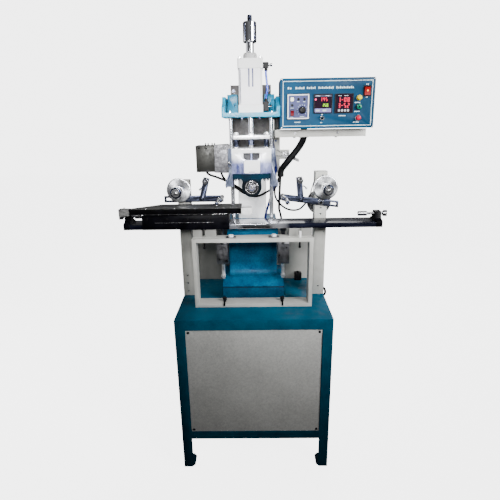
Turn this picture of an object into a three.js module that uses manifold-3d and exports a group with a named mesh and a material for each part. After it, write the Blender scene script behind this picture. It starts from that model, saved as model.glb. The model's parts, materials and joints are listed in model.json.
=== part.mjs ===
// Roller hot foil stamper: a floor-standing press whose air cylinder pushes a heated
// silicone roller down onto a work table that slides sideways on a rail.
// Units are millimetres.  X runs left to right, Y runs front to back, Z is up.
// The origin is on the floor under the middle of the machine.
import * as THREE from "three";
import { mergeVertices } from "three/addons/utils/BufferGeometryUtils.js";
import Module from "manifold-3d";

const wasm = await Module();
wasm.setup();

// ---------------------------------------------------------------- driving dimensions
const GAP = 0.3; // clearance between neighbouring pieces
const ROUND = 20; // facets of a full-size round
const SMALL_ROUND = 12; // facets of a pin or a screw
const PISTON_ROUND = 28; // the piston and its bore share their facets

const CABINET = { halfWidth: 305, halfDepth: 240, top: 690, sheet: 3 };
const ANGLE = { leg: 40, wall: 4 }; // the cabinet's angle iron
const LOWER_RAIL = { bottom: 144, top: 180 };
const FOOT = { width: 46, depth: 70, height: 6, hole: 6, clip: 12 };

const PRESS = { y: -45, stroke: 33 }; // vertical axis of the cylinder, at x = 0
const ROLLER = { z: 1176, radius: 38, shaft: 12.7, from: -97, to: 1 };
const GUIDE = { x: 79, y: 22, radius: 8 }; // the two upright guide rods
const BED_TOP = 1010.7;
const RAIL = { bottom: 1011, top: 1031, front: -95, back: 0, halfLength: 482.7 };
const STOP = { y: -48, z: 1057, radius: 5 }; // axis of the two stop screws
const TABLE = { bottom: 1075, top: 1097, front: -115, back: -8, left: -470, right: -41 };
const BRACKET = { bottom: 1427, top: 1443, halfWidth: 105, front: -110, back: 84 };
const CYLINDER = { half: 45, bore: 40.3, bottom: 1443.3, barrel: [1471, 1592], top: 1625 };
const COLUMN = { halfWidth: 60, front: 105, back: 205, top: 1545 };
const POST = { inner: 255, outer: 305, front: 7, back: 57 };
const REEL = { x: 295, leftZ: 1153, rightZ: 1156, journal: 6, flange: 49 };
const BELT = { front: 63, back: 73, thick: 2.2, driven: 38, driver: 14, motorX: 252, motorZ: 1086 };
const ARM = { front: 0.7, back: 6.7, height: 26 }; // the foil arms lie flat on the posts
const UPRIGHT = { front: -5.6, back: 0.4, width: 24 };
const PANEL = { left: 107, right: 448, bottom: 1384, top: 1557, front: -81, skin: 2.7, back: 42 };

// ---------------------------------------------------------------- solids
const UP = "z"; // the direction that a prism or a turned part is built along
const DEEP = "y";
const ACROSS = "x";

// Each frame turns shape space (x, y, depth) into the machine's axes.
const FRAMES = {
  x: new THREE.Matrix4().makeBasis(
    new THREE.Vector3(0, 1, 0),
    new THREE.Vector3(0, 0, 1),
    new THREE.Vector3(1, 0, 0),
  ),
  y: new THREE.Matrix4().makeBasis(
    new THREE.Vector3(1, 0, 0),
    new THREE.Vector3(0, 0, 1),
    new THREE.Vector3(0, -1, 0),
  ),
  z: new THREE.Matrix4(),
};

// A closed three.js geometry as a manifold solid with its faces pointing out.
function solidOf(geometry) {
  const bare = new THREE.BufferGeometry();
  const source = geometry.index ? geometry.toNonIndexed() : geometry;
  bare.setAttribute("position", source.getAttribute("position"));
  const merged = mergeVertices(bare, 1e-3);
  const triVerts = new Uint32Array(merged.index.array);
  const vertProperties = merged.attributes.position.array;
  const made = new wasm.Manifold(new wasm.Mesh({ numProp: 3, vertProperties, triVerts }));
  if (made.volume() > 0) return made;
  for (let i = 0; i < triVerts.length; i += 3) {
    [triVerts[i + 1], triVerts[i + 2]] = [triVerts[i + 2], triVerts[i + 1]];
  }
  return new wasm.Manifold(new wasm.Mesh({ numProp: 3, vertProperties, triVerts }));
}

function join(...solids) {
  return solids.reduce((whole, next) => whole.add(next));
}

function cut(solid, ...tools) {
  return tools.reduce((rest, tool) => rest.subtract(tool), solid);
}

// A block given by its low and high value along each axis.
function block([x0, x1], [y0, y1], [z0, z1]) {
  const geometry = new THREE.BoxGeometry(x1 - x0, y1 - y0, z1 - z0);
  geometry.translate((x0 + x1) / 2, (y0 + y1) / 2, (z0 + z1) / 2);
  return solidOf(geometry);
}

// A flat outline pushed along an axis.  The outline is (y, z) for x, (x, z) for y
// and (x, y) for z.  `smooth` is half the number of facets in each arc.
function prism(outline, axis, [from, to], smooth = 2) {
  const shape = outline instanceof THREE.Shape ? outline : polygon(outline);
  const settings = { depth: to - from, bevelEnabled: false, curveSegments: smooth };
  const geometry = new THREE.ExtrudeGeometry(shape, settings);
  geometry.applyMatrix4(FRAMES[axis]);
  const shift = { x: [from, 0, 0], y: [0, to, 0], z: [0, 0, from] }[axis];
  geometry.translate(...shift);
  return solidOf(geometry);
}

function polygon(points) {
  return new THREE.Shape(points.map(([a, b]) => new THREE.Vector2(a, b)));
}

// A rectangle with rounded or, with one segment a corner, cut corners.
function roundedRect([a0, a1], [b0, b1], radius) {
  const shape = new THREE.Shape();
  shape.moveTo(a0 + radius, b0);
  shape.lineTo(a1 - radius, b0);
  shape.absarc(a1 - radius, b0 + radius, radius, -Math.PI / 2, 0);
  shape.lineTo(a1, b1 - radius);
  shape.absarc(a1 - radius, b1 - radius, radius, 0, Math.PI / 2);
  shape.lineTo(a0 + radius, b1);
  shape.absarc(a0 + radius, b1 - radius, radius, Math.PI / 2, Math.PI);
  shape.lineTo(a0, b0 + radius);
  shape.absarc(a0 + radius, b0 + radius, radius, Math.PI, Math.PI * 1.5);
  return shape;
}

// A turned part: [radius, position along the axis] pairs, centred at (a, b) in the
// plane across the axis.
function turned(steps, axis, [a, b], facets = ROUND) {
  const profile = steps.map(([radius, along]) => new THREE.Vector2(radius, along));
  profile.unshift(new THREE.Vector2(0, steps[0][1]));
  profile.push(new THREE.Vector2(0, steps[steps.length - 1][1]));
  const geometry = new THREE.LatheGeometry(profile, facets);
  if (axis === UP) geometry.rotateX(Math.PI / 2);
  if (axis === ACROSS) geometry.rotateZ(-Math.PI / 2);
  const place = { x: [0, a, b], y: [a, 0, b], z: [a, b, 0] }[axis];
  geometry.translate(...place);
  return solidOf(geometry);
}

function rod(radius, axis, centre, [from, to], facets = SMALL_ROUND) {
  return turned([[radius, from], [radius, to]], axis, centre, facets);
}

// A hexagon nut or bolt head.
function hexagon(acrossFlats, axis, centre, [from, to]) {
  return rod(acrossFlats / Math.sqrt(3), axis, centre, [from, to], 6);
}

// A smooth tube through a list of points; start and end faces are square to the path.
function tube(points, radius, { sides = 8, steps = 24 } = {}) {
  const path = new THREE.CatmullRomCurve3(points.map((p) => new THREE.Vector3(...p)));
  path.curveType = "centripetal";
  const ring = [];
  for (let i = 0; i < sides; i += 1) {
    const angle = (i / sides) * Math.PI * 2;
    ring.push(new THREE.Vector2(Math.cos(angle) * radius, Math.sin(angle) * radius));
  }
  const settings = { steps, extrudePath: path, bevelEnabled: false };
  return solidOf(new THREE.ExtrudeGeometry(new THREE.Shape(ring), settings));
}

// ---------------------------------------------------------------- finishes
const FINISH = {
  teal: [0x0a6a86, 0.55, 0.1],
  brightTeal: [0x2bb8cc, 0.5, 0.1],
  cream: [0xd2d2cb, 0.6, 0.0],
  speckle: [0xa9aaa4, 0.7, 0.0],
  blue: [0x2c6a99, 0.5, 0.1],
  deepBlue: [0x14405c, 0.45, 0.3],
  steel: [0xb9bcc4, 0.3, 0.9],
  dullSteel: [0x77787a, 0.5, 0.8],
  chrome: [0xe8eaf0, 0.12, 1.0],
  aluminium: [0xd8dce6, 0.35, 0.9],
  black: [0x101014, 0.5, 0.2],
  plastic: [0x17181c, 0.6, 0.0],
  blued: [0x2c3a5c, 0.4, 0.7],
  silicone: [0x9c3a26, 0.7, 0.0],
  yellow: [0xf4e214, 0.4, 0.0],
  green: [0x0f8f6a, 0.4, 0.0],
  red: [0xc81e3c, 0.4, 0.0],
  litRed: [0xff2a12, 0.3, 0.0],
  airBlue: [0x0d2fb0, 0.4, 0.0],
};

const machine = new THREE.Group();

function place(name, solid, finish) {
  const mesh = solid.getMesh();
  const geometry = new THREE.BufferGeometry();
  const positions = new THREE.BufferAttribute(new Float32Array(mesh.vertProperties), mesh.numProp);
  geometry.setAttribute("position", positions);
  geometry.setIndex(new THREE.BufferAttribute(new Uint32Array(mesh.triVerts), 1));
  geometry.computeVertexNormals();
  const [color, roughness, metalness] = FINISH[finish];
  const material = new THREE.MeshStandardMaterial({ color, roughness, metalness });
  const made = new THREE.Mesh(geometry, material);
  made.name = name;
  machine.add(made);
}

const SIDES = [
  { name: "left", s: -1 },
  { name: "right", s: 1 },
];

// A range mirrored to the left or kept on the right.
function side(s, [low, high]) {
  return s > 0 ? [low, high] : [-high, -low];
}

// ---------------------------------------------------------------- cabinet
const FRONT_PANEL = { front: -236.8, back: -234.6 };
// A tab welded inside each front corner, for the panel's screws.
const TAB = { front: FRONT_PANEL.back + GAP, back: -231.6, height: 24, reach: 25 };

// A flat sole under one leg, with three of its corners cut off.
function footPlate(s, f) {
  const { halfWidth: w, halfDepth: d } = CABINET;
  const { width, depth, clip } = FOOT;
  const outline = [
    [w, d], [w, d - depth + clip], [w - clip, d - depth], [w - width + clip, d - depth],
    [w - width, d - depth + clip], [w - width, d - clip], [w - width + clip, d],
  ];
  return prism(outline.map(([x, y]) => [s * x, f * y]), UP, [0, FOOT.height]);
}

function cabinetFrame() {
  const { halfWidth: w, halfDepth: d, top, sheet } = CABINET;
  const { leg, wall } = ANGLE;
  const under = top - sheet;
  const lower = LOWER_RAIL;
  const pieces = [];
  for (const s of [-1, 1]) {
    const flange = side(s, [w - wall, w]);
    const web = side(s, [w - leg, w]);
    for (const f of [-1, 1]) {
      pieces.push(block(flange, side(f, [d - leg, d]), [FOOT.height, under]));
      pieces.push(block(web, side(f, [d - wall, d]), [FOOT.height, under]));
      const holeAt = [s * (w - FOOT.width / 2), f * (d - FOOT.depth + 16)];
      pieces.push(cut(footPlate(s, f), rod(FOOT.hole, UP, holeAt, [-1, FOOT.height + 1])));
    }
    for (const z of [lower.top + 1, under - leg - 1 - TAB.height]) {
      const x = side(s, [w - leg - TAB.reach, w - wall]);
      pieces.push(block(x, [TAB.front, TAB.back], [z, z + TAB.height]));
    }
    pieces.push(block(flange, [-d, d], [under - leg, under]));
    pieces.push(block(web, [-d, d], [under - wall, under]));
    pieces.push(block(flange, [-d, d], [lower.bottom, lower.top]));
    pieces.push(block(web, [-d, d], [lower.bottom, lower.bottom + wall]));
  }
  for (const f of [-1, 1]) {
    pieces.push(block([-w, w], side(f, [d - wall, d]), [under - leg, under]));
    pieces.push(block([-w, w], side(f, [d - leg, d]), [under - wall, under]));
    pieces.push(block([-w, w], side(f, [d - wall, d]), [lower.bottom, lower.top]));
    pieces.push(block([-w, w], side(f, [d - leg, d]), [lower.bottom, lower.bottom + wall]));
  }
  const cover = block([-w, w], [-d, d], [under, top]);
  return join(cover, ...pieces);
}

function frontPanel() {
  const reach = CABINET.halfWidth - ANGLE.leg - GAP;
  const high = CABINET.top - CABINET.sheet - ANGLE.leg - GAP;
  const y = [FRONT_PANEL.front, FRONT_PANEL.back];
  return block([-reach, reach], y, [LOWER_RAIL.top + GAP, high]);
}

// One sheet bent round the left side, the back and the right side.
function rearCover() {
  const thick = 1.5;
  const x = CABINET.halfWidth - ANGLE.wall - GAP;
  const back = CABINET.halfDepth - ANGLE.wall - GAP;
  const front = TAB.back + GAP;
  const z = [LOWER_RAIL.bottom + ANGLE.wall + GAP, CABINET.top - CABINET.sheet - ANGLE.wall - GAP];
  const outline = [
    [-x, front], [-x + thick, front], [-x + thick, back - thick], [x - thick, back - thick],
    [x - thick, front], [x, front], [x, back], [-x, back],
  ];
  return prism(outline, UP, z);
}

// ---------------------------------------------------------------- base, bed and rail
// The casting: a wide foot that sweeps up into a neck, and a bed that reaches forward.
function bedCasting() {
  const foot = { half: 130, front: -40, top: 746, bottom: CABINET.top + GAP };
  const neck = { half: 103, front: 45, back: 205, from: 778, to: 914 };
  const bed = { front: -40, bottom: 967 };
  const web = new THREE.Shape();
  web.moveTo(neck.back, foot.bottom);
  web.lineTo(neck.back, BED_TOP);
  web.lineTo(bed.front, BED_TOP);
  web.lineTo(bed.front, bed.bottom + 6);
  web.lineTo(bed.front + 6, bed.bottom);
  web.quadraticCurveTo(neck.front - 8, neck.to + 46, neck.front, neck.to);
  web.lineTo(neck.front, neck.from + 24);
  web.quadraticCurveTo(neck.front, neck.from, neck.front - 26, neck.from - 12);
  web.lineTo(foot.front, foot.top);
  web.lineTo(foot.front, foot.bottom);
  const base = new THREE.Shape();
  base.moveTo(neck.back, foot.bottom);
  base.lineTo(neck.back, foot.top + 14);
  base.lineTo(neck.front, neck.from - 6);
  base.lineTo(neck.front - 26, neck.from - 12);
  base.lineTo(foot.front, foot.top);
  base.lineTo(foot.front, foot.bottom);
  return join(
    prism(web, ACROSS, [-neck.half, neck.half], 8),
    prism(base, ACROSS, [-foot.half, foot.half]),
  );
}

// A steel block on the neck's side, with the jack rod that carries the rail.
function bedClamp(s) {
  const centre = [s * 126, -15];
  const clampBlock = block(side(s, [103.6, 150]), [-36, 6], [846, 932]);
  const jack = rod(7.5, UP, centre, [777, BED_TOP], 16);
  const lowerNut = hexagon(19, UP, centre, [784, 794]);
  const topNut = hexagon(24, UP, centre, [984, 1000]);
  const washer = rod(15, UP, centre, [1000, BED_TOP]);
  return join(clampBlock, jack, lowerNut, topNut, washer);
}

// The open rectangular frame in front of the casting, with four pads under the rail.
function boxFrame() {
  const outer = { x: 237, bottom: CABINET.top + GAP, top: 978.5 };
  const wall = 15;
  const y = [-123.4, -62];
  const whole = block([-outer.x, outer.x], y, [outer.bottom, outer.top]);
  const hole = block(
    [-outer.x + wall, outer.x - wall],
    [y[0] - 1, y[1] + 1],
    [outer.bottom + wall, outer.top - wall],
  );
  const padX = [[-236, -200], [-188, -144], [144, 180], [191, 234]];
  const pads = padX.map((x) => block(x, [RAIL.front + 3, y[1]], [outer.top - 1, RAIL.bottom - GAP]));
  return join(cut(whole, hole), ...pads);
}

function post(s) {
  const top = s < 0 ? 1190 : 1218;
  const x = side(s, [POST.inner, POST.outer]);
  const shape = roundedRect(x, [POST.front, POST.back], 3);
  const body = prism(shape, UP, [CABINET.top + GAP, top]);
  const axle = [s * REEL.x, s < 0 ? REEL.leftZ : REEL.rightZ];
  const pivot = FOIL[s < 0 ? "left" : "right"].pivot;
  return cut(
    body,
    rod(REEL.journal + GAP, DEEP, axle, [POST.front - 1, POST.back + 1], 16),
    rod(5 + GAP, DEEP, pivot, [POST.front - 1, POST.front + 34]),
  );
}

// A cream sheet that closes the space behind the casting.
function backSheet() {
  const front = COLUMN.back + GAP;
  return block([-263, 259], [front, front + 2], [CABINET.top + GAP, 985]);
}

// A small limit-switch box on the cabinet, in front of the back sheet.
function switchBox() {
  const box = prism(roundedRect([195, 228], [174, 203], 3), UP, [CABINET.top + GAP, 726]);
  return join(box, rod(6, UP, [211, 188], [725, 733]));
}

function slideRail() {
  const { bottom, top, front, back, halfLength } = RAIL;
  const bevel = 2;
  const outline = [
    [front + bevel, bottom], [back - bevel, bottom], [back, bottom + bevel], [back, top - bevel],
    [back - bevel, top], [front + bevel, top], [front, top - bevel], [front, bottom + bevel],
  ];
  return prism(outline, ACROSS, [-halfLength, halfLength]);
}

// The plate on each end of the rail, with a narrower ear that the stop screw runs in.
function railBracket(s) {
  const x = side(s, [RAIL.halfLength + GAP, 507]);
  const ear = { halfWidth: 17, top: 1068, shoulder: 1042 };
  const outline = [
    [RAIL.front, RAIL.bottom], [RAIL.back, RAIL.bottom], [RAIL.back, ear.shoulder - 8],
    [STOP.y + ear.halfWidth + 8, ear.shoulder], [STOP.y + ear.halfWidth, ear.top],
    [STOP.y - ear.halfWidth, ear.top], [STOP.y - ear.halfWidth - 8, ear.shoulder],
    [RAIL.front, ear.shoulder - 8],
  ];
  const ends = [x[0] - 1, x[1] + 1];
  const bore = rod(STOP.radius + GAP, ACROSS, [STOP.y, STOP.z], ends, 16);
  return cut(prism(outline, ACROSS, x), bore);
}

// The stop screw: a round bumper inside, a thread through the ear and a knob outside.
function stopScrew(s) {
  const bumper = s > 0 ? 420 : 445;
  const axle = [STOP.y, STOP.z];
  const span = (from, to) => side(s, [from, to]);
  const head = s > 0 ? 35 : 25;
  return join(
    rod(10, ACROSS, axle, span(bumper, bumper + head), 24),
    rod(STOP.radius, ACROSS, axle, span(bumper + head - 1, 520)),
    rod(8.5, ACROSS, axle, span(516, 532), 16),
    block(span(519, 535), [STOP.y - 3, STOP.y + 3], [STOP.z - 12, STOP.z + 12]),
  );
}

// ---------------------------------------------------------------- sliding table
function tableSaddle() {
  const skirt = { front: -101, back: RAIL.front - 0.6, bottom: RAIL.bottom + 1 };
  const deck = 1068;
  const base = RAIL.top + GAP;
  const outline = [
    [skirt.front, skirt.bottom], [skirt.back, skirt.bottom], [skirt.back, base],
    [TABLE.back, base], [TABLE.back, deck], [skirt.front, deck],
  ];
  const ribs = [[-92, -74], [-32, -14]].map((y) =>
    block([-426, -94], y, [deck - 1, TABLE.bottom - GAP]),
  );
  return join(prism(outline, ACROSS, [-430, -90]), ...ribs);
}

// The table plate has one corner cut away and a clamping block at each front end.
function tablePlate() {
  const { left, right, front, back } = TABLE;
  const outline = [[left, front], [right, front], [right, back], [-368, back], [left, -88]];
  const clampY = [-125, -98];
  const clampZ = [1073, 1099.5];
  return join(
    prism(outline, UP, [TABLE.bottom, TABLE.top]),
    block([-510, left + 1], clampY, clampZ),
    block([right - 1, 0], clampY, clampZ),
  );
}

// ---------------------------------------------------------------- press frame
function pressColumn() {
  const { halfWidth: w, front, back, top } = COLUMN;
  return prism(roundedRect([-w, w], [front, back], 4), UP, [BED_TOP + GAP, top]);
}

function guideRod(s) {
  const { x, y, radius } = GUIDE;
  const top = BRACKET.bottom - GAP;
  const steps = [
    [radius + 5, BED_TOP + GAP], [radius + 5, BED_TOP + 14], [radius, BED_TOP + 14],
    [radius, top - 8], [radius + 2, top - 8], [radius + 2, top],
  ];
  return turned(steps, UP, [s * x, y], 16);
}

// The bracket that carries the cylinder: a floor plate with upturned sides, two lugs
// and a back plate on the column.
function cylinderBracket() {
  const { bottom, top, halfWidth: w, front, back } = BRACKET;
  const wall = 12;
  const backPlate = { half: 80, from: 1205, to: 1552 };
  const cheek = new THREE.Shape();
  cheek.moveTo(back, bottom + 1);
  cheek.lineTo(back, 1500);
  cheek.lineTo(-56, 1500);
  cheek.quadraticCurveTo(-70, 1466, front, 1463);
  cheek.lineTo(front, bottom + 1);
  const pieces = [
    prism(roundedRect([-w, w], [front, back], 4), UP, [bottom, top]),
    block(
      [-backPlate.half, backPlate.half],
      [back - 4, COLUMN.front - GAP],
      [backPlate.from, backPlate.to],
    ),
  ];
  for (const s of [-1, 1]) {
    pieces.push(prism(cheek, ACROSS, side(s, [w - wall, w]), 8));
    const lug = block(side(s, [51, 90]), [8, back], [bottom + 1, 1512]);
    pieces.push(cut(lug, rod(5, DEEP, [s * 60, 1471], [0, 40])));
  }
  const whole = join(...pieces);
  const rodHole = rod(14, UP, [0, PRESS.y], [bottom - 1, top + 1], 20);
  return cut(whole, rodHole);
}

// The cylinder: two end caps, a square barrel and the boss on the rear cap.
function cylinderBody() {
  const { half, bore, bottom, barrel, top } = CYLINDER;
  const centre = [0, PRESS.y];
  const square = (h, corner, z) =>
    prism(roundedRect([-h, h], [PRESS.y - h, PRESS.y + h], corner), UP, z);
  const outside = join(
    square(half, 3, [bottom, barrel[0]]),
    square(half - 2.5, 8, [barrel[0] - 1, barrel[1] + 1]),
    square(half, 3, [barrel[1], top]),
    turned([[25, top - 1], [25, 1641], [21, 1647]], UP, centre),
  );
  return cut(
    outside,
    rod(bore, UP, centre, [barrel[0] - 1, barrel[1] + 1], PISTON_ROUND),
    rod(10.4, UP, centre, [bottom - 1, barrel[0] + 1], PISTON_ROUND),
    rod(14.9, UP, centre, [barrel[1] - 1, 1650], PISTON_ROUND),
  );
}

// ---------------------------------------------------------------- moving press head
const CROSS = { bottom: 1350, top: 1363.5, half: 70 };
const HEAD = { half: 73, front: -112, back: 38, bottom: 1226.3, top: 1317 };
const STUDS = [[-57, -80], [57, -80], [-57, -10], [57, -10]];

// One turned piece: rod end and nut, front rod, piston, rear rod and threaded tip.
function pistonRod() {
  const steps = [
    [7.7, HEAD.top + GAP], [7.7, 1328], [12, 1328], [12, CROSS.bottom - GAP], [7.7, CROSS.bottom - GAP],
    [7.7, CROSS.top + GAP], [10, CROSS.top + GAP], [10, 1555], [40, 1555], [40, 1585],
    [14.5, 1585], [14.5, 1680.7], [12, 1680.7], [12, 1750], [9, 1750], [9, 1767], [7, 1769],
  ];
  return turned(steps, UP, [0, PRESS.y], PISTON_ROUND);
}

// The nut that sets how far the head comes down.
function strokeNut() {
  const centre = [0, PRESS.y];
  const outer = turned([[22, 1681], [24.5, 1684], [24.5, 1744], [22, 1747]], UP, centre, 24);
  return cut(outer, rod(12 + GAP, UP, centre, [1680, 1748], ROUND));
}

function crossPlate() {
  const y = [-88, -2];
  const plate = prism(roundedRect([-CROSS.half, CROSS.half], y, 6), UP, [CROSS.bottom, CROSS.top]);
  const z = [CROSS.bottom - 1, CROSS.top + 1];
  const studHoles = STUDS.map((at) => rod(6.4, UP, at, z, 10));
  return cut(plate, rod(8, UP, [0, PRESS.y], z, PISTON_ROUND), ...studHoles);
}

// The hollow head: four plates, a window in the front, guide bosses behind, flared
// side guards and the studs that hang it from the cross plate.
function headBlock() {
  const { half, front, back, bottom, top } = HEAD;
  const skin = 16;
  const pieces = [
    block([-half, half], [front, back], [top - skin, top]),
    block([-half, half], [front, back], [bottom, bottom + 13]),
    block([-half, half], [front, front + skin], [bottom, top]),
    block([-60, 60], [back - skin, back], [bottom, top]),
    block([-29, 33], [front - 5, front + 1], [bottom, 1275]),
  ];
  for (const s of [-1, 1]) {
    const guard = [[72, 1264], [76, 1264], [101, 1184], [98, 1172], [94, 1172], [97, 1184], [72, 1258]];
    const gusset = [[72, 1262], [76, 1262], [100, 1184], [97, 1173], [72, 1173]];
    const mirror = ([x, z]) => [s * x, z];
    pieces.push(prism(guard.map(mirror), DEEP, [-98, -12]));
    pieces.push(prism(gusset.map(mirror), DEEP, [-76, -71]));
    pieces.push(block(side(s, [72, 74.5]), [-76, -60], [1173, 1240]));
    pieces.push(rod(17, UP, [s * GUIDE.x, GUIDE.y], [1240, 1312], 16));
    pieces.push(block(side(s, [56, 74]), [GUIDE.y - 6, back], [1240, 1312]));
  }
  for (const [x, y] of STUDS) {
    pieces.push(rod(5.5, UP, [x, y], [top - 1, CROSS.top + 11], 8));
    pieces.push(hexagon(17, UP, [x, y], [CROSS.top + GAP, CROSS.top + 7]));
    pieces.push(rod(7, UP, [x, y], [top - 1, CROSS.bottom - GAP], 12));
  }
  const whole = join(...pieces);
  const window = prism([[-30, 1301], [-30, 1282], [-22, 1275.5], [22, 1275.5], [30, 1282], [30, 1301]],
    DEEP, [front - 10, front + skin + 1]);
  const bores = SIDES.map(({ s }) =>
    rod(GUIDE.radius + GAP, UP, [s * GUIDE.x, GUIDE.y], [bottom - 1, top + 1], 16),
  );
  return cut(whole, window, ...bores);
}

// A two-bolt bearing block hung under the head.
function bearingBlock(halfFlange, y) {
  const housing = 36;
  const top = HEAD.bottom - GAP;
  const shape = new THREE.Shape();
  const shoulder = 1209;
  shape.moveTo(-halfFlange, shoulder);
  shape.lineTo(-34, shoulder);
  shape.quadraticCurveTo(-housing, 1200, -housing, ROLLER.z);
  shape.absarc(0, ROLLER.z, housing, Math.PI, Math.PI * 2);
  shape.quadraticCurveTo(housing, 1200, 34, shoulder);
  shape.lineTo(halfFlange, shoulder);
  shape.lineTo(halfFlange, top);
  shape.lineTo(-halfFlange, top);
  const seat = rod(ROLLER.shaft + GAP, DEEP, [0, ROLLER.z], [y[0] - 1, y[1] + 1], ROUND);
  return cut(prism(shape, DEEP, y, 8), seat);
}

function rollerShaft() {
  const centre = [0, ROLLER.z];
  const r = ROLLER.shaft;
  const steps = [[r - 1.5, -132], [r, -130.5], [r, 34]];
  const shaft = turned(steps, DEEP, centre, ROUND);
  return cut(shaft, rod(4, DEEP, centre, [-133, -118], 16));
}

function rollerSleeve() {
  const { radius, from, to } = ROLLER;
  const centre = [0, ROLLER.z];
  const tread = turned([[radius - 2, from], [radius, from + 2], [radius, to - 2], [radius - 2, to]],
    DEEP, centre, 32);
  return cut(tread, rod(ROLLER.shaft + GAP, DEEP, centre, [from - 1, to + 1], ROUND));
}

// ---------------------------------------------------------------- air line
const VALVE_TUBE = [
  [57, -45, 1590], [57, -45, 1578], [58.5, -46, 1560], [61, -47, 1540],
  [61, -47, 1520], [58.5, -46, 1504], [57, -45, 1497], [57, -45, 1490],
];

// A flow valve screwed into the cylinder's side, with its adjusting screw pointing out.
function flowValve([z0, z1], screwZ, screwRadius) {
  return join(
    block([CYLINDER.half + GAP, 66], [PRESS.y - 9, PRESS.y + 9], [z0, z1]),
    rod(3.5, ACROSS, [PRESS.y, screwZ], [65, 73]),
    rod(screwRadius, ACROSS, [PRESS.y, screwZ], [72, 80]),
  );
}

// Two flow valves with the blue tube between them.
function cylinderAirLine() {
  return join(
    flowValve([1597, 1616], 1607, 5.5),
    rod(6, UP, [57, PRESS.y], [1588, 1598]),
    tube(VALVE_TUBE, 4, { steps: 8 }),
    flowValve([1450, 1482], 1465, 6.5),
    rod(6, UP, [57, PRESS.y], [1481, 1492]),
  );
}

const SUPPLY_TUBE = [
  [80, 58, 1426.7], [80, 58, 1410], [82, 58, 1370], [88, 58, 1320], [96, 58, 1260],
  [98, 59, 1210], [92, 59, 1165], [82, 60, 1125], [69, 61, 1080], [59, 62, 1046], [55, 62, 1026],
  [55, 62, 1011],
];

// ---------------------------------------------------------------- foil feed
const FOIL = {
  left: { pivot: [-280, 1116], lean: 0, bar: [-358, -117], upright: -203, tip: [-184, 1191] },
  right: { pivot: [279, 1096], lean: -8.1, bar: [113, 351], upright: 197, tip: [189, 1189] },
};

// Height of a foil arm's centre line at x.
function armHeight(arm, x) {
  return arm.pivot[1] + Math.tan(THREE.MathUtils.degToRad(arm.lean)) * (x - arm.pivot[0]);
}

function foilArm(name) {
  const arm = FOIL[name];
  const s = name === "left" ? -1 : 1;
  const half = ARM.height / 2;
  const [x0, x1] = arm.bar;
  const outline = [
    [x0, armHeight(arm, x0) - half], [x1, armHeight(arm, x1) - half],
    [x1, armHeight(arm, x1) + half], [x0, armHeight(arm, x0) + half],
  ];
  const y = [ARM.front, ARM.back];
  const through = [ARM.front - 1, ARM.back + 1];
  const outer = s < 0 ? [-350, -322] : [314, 342];
  const slotHalf = 5;
  const slot = [
    [outer[0], armHeight(arm, outer[0]) - slotHalf], [outer[1], armHeight(arm, outer[1]) - slotHalf],
    [outer[1], armHeight(arm, outer[1]) + slotHalf], [outer[0], armHeight(arm, outer[0]) + slotHalf],
  ];
  const hinge = [arm.upright, armHeight(arm, arm.upright)];
  const pinX = [s * 122, s * 137];
  const pins = [
    rod(5.5, DEEP, [pinX[0], armHeight(arm, pinX[0]) + 7], [-92, ARM.front + 1], 16),
    rod(5.5, DEEP, [pinX[1], armHeight(arm, pinX[1]) - 5], [-92, ARM.front + 1], 16),
  ];
  const clampBolt = join(
    rod(10, DEEP, arm.pivot, [ARM.front - 3, ARM.front + 1], 16),
    hexagon(14, DEEP, arm.pivot, [ARM.front - 7, ARM.front - 2]),
    rod(5, DEEP, arm.pivot, [ARM.front, POST.front + 30]),
  );
  const bar = cut(prism(outline, DEEP, y), prism(slot, DEEP, through), rod(4 + GAP, DEEP, hinge, through));
  return join(bar, clampBolt, ...pins);
}

// The upright bar of a foil arm, with its pivot pin below and the guide roller's axle above.
function uprightArm(name) {
  const arm = FOIL[name];
  const foot = [arm.upright, armHeight(arm, arm.upright)];
  const [tipX, tipZ] = arm.tip;
  const length = Math.hypot(tipX - foot[0], tipZ - foot[1]);
  const along = [(tipX - foot[0]) / length, (tipZ - foot[1]) / length];
  const half = UPRIGHT.width / 2;
  const facing = Math.atan2(along[1], along[0]);
  const shape = new THREE.Shape();
  const end = [foot[0] + along[0] * (length + 10), foot[1] + along[1] * (length + 10)];
  shape.absarc(foot[0], foot[1], half, facing + Math.PI / 2, facing + Math.PI * 1.5);
  shape.lineTo(end[0] + along[1] * half, end[1] - along[0] * half);
  shape.lineTo(end[0] - along[1] * half, end[1] + along[0] * half);
  return join(
    prism(shape, DEEP, [UPRIGHT.front, UPRIGHT.back], 5),
    rod(4, DEEP, foot, [UPRIGHT.front - 4, ARM.back], SMALL_ROUND),
    rod(4, DEEP, arm.tip, [-48, UPRIGHT.front + 1], SMALL_ROUND),
  );
}

function tipRoller(name) {
  const { tip } = FOIL[name];
  const y = [-46, UPRIGHT.front - GAP];
  return cut(rod(12, DEEP, tip, y, 20), rod(4 + GAP, DEEP, tip, [y[0] - 1, y[1] + 1]));
}

// Flange, mandrel, locking collar and nut turn together on a journal in the post.
function foilReel(name) {
  const s = name === "left" ? -1 : 1;
  const centre = [s * REEL.x, s < 0 ? REEL.leftZ : REEL.rightZ];
  const j = REEL.journal;
  const tail = s < 0
    ? [[j, 57.5], [12, 57.5], [12, 66]]
    : [[j, 60], [BELT.driven, 60], [BELT.driven, 76]];
  const steps = [
    [8, -92], [8, -82], [21, -82], [21, -68], [14, -68], [14, -14], [40, -13], [REEL.flange - 1, -11],
    [REEL.flange, -9.5], [REEL.flange, -7.5], [16, -6.3], [16, 3], [j, 3], ...tail,
  ];
  return turned(steps, DEEP, centre, 24);
}

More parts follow.
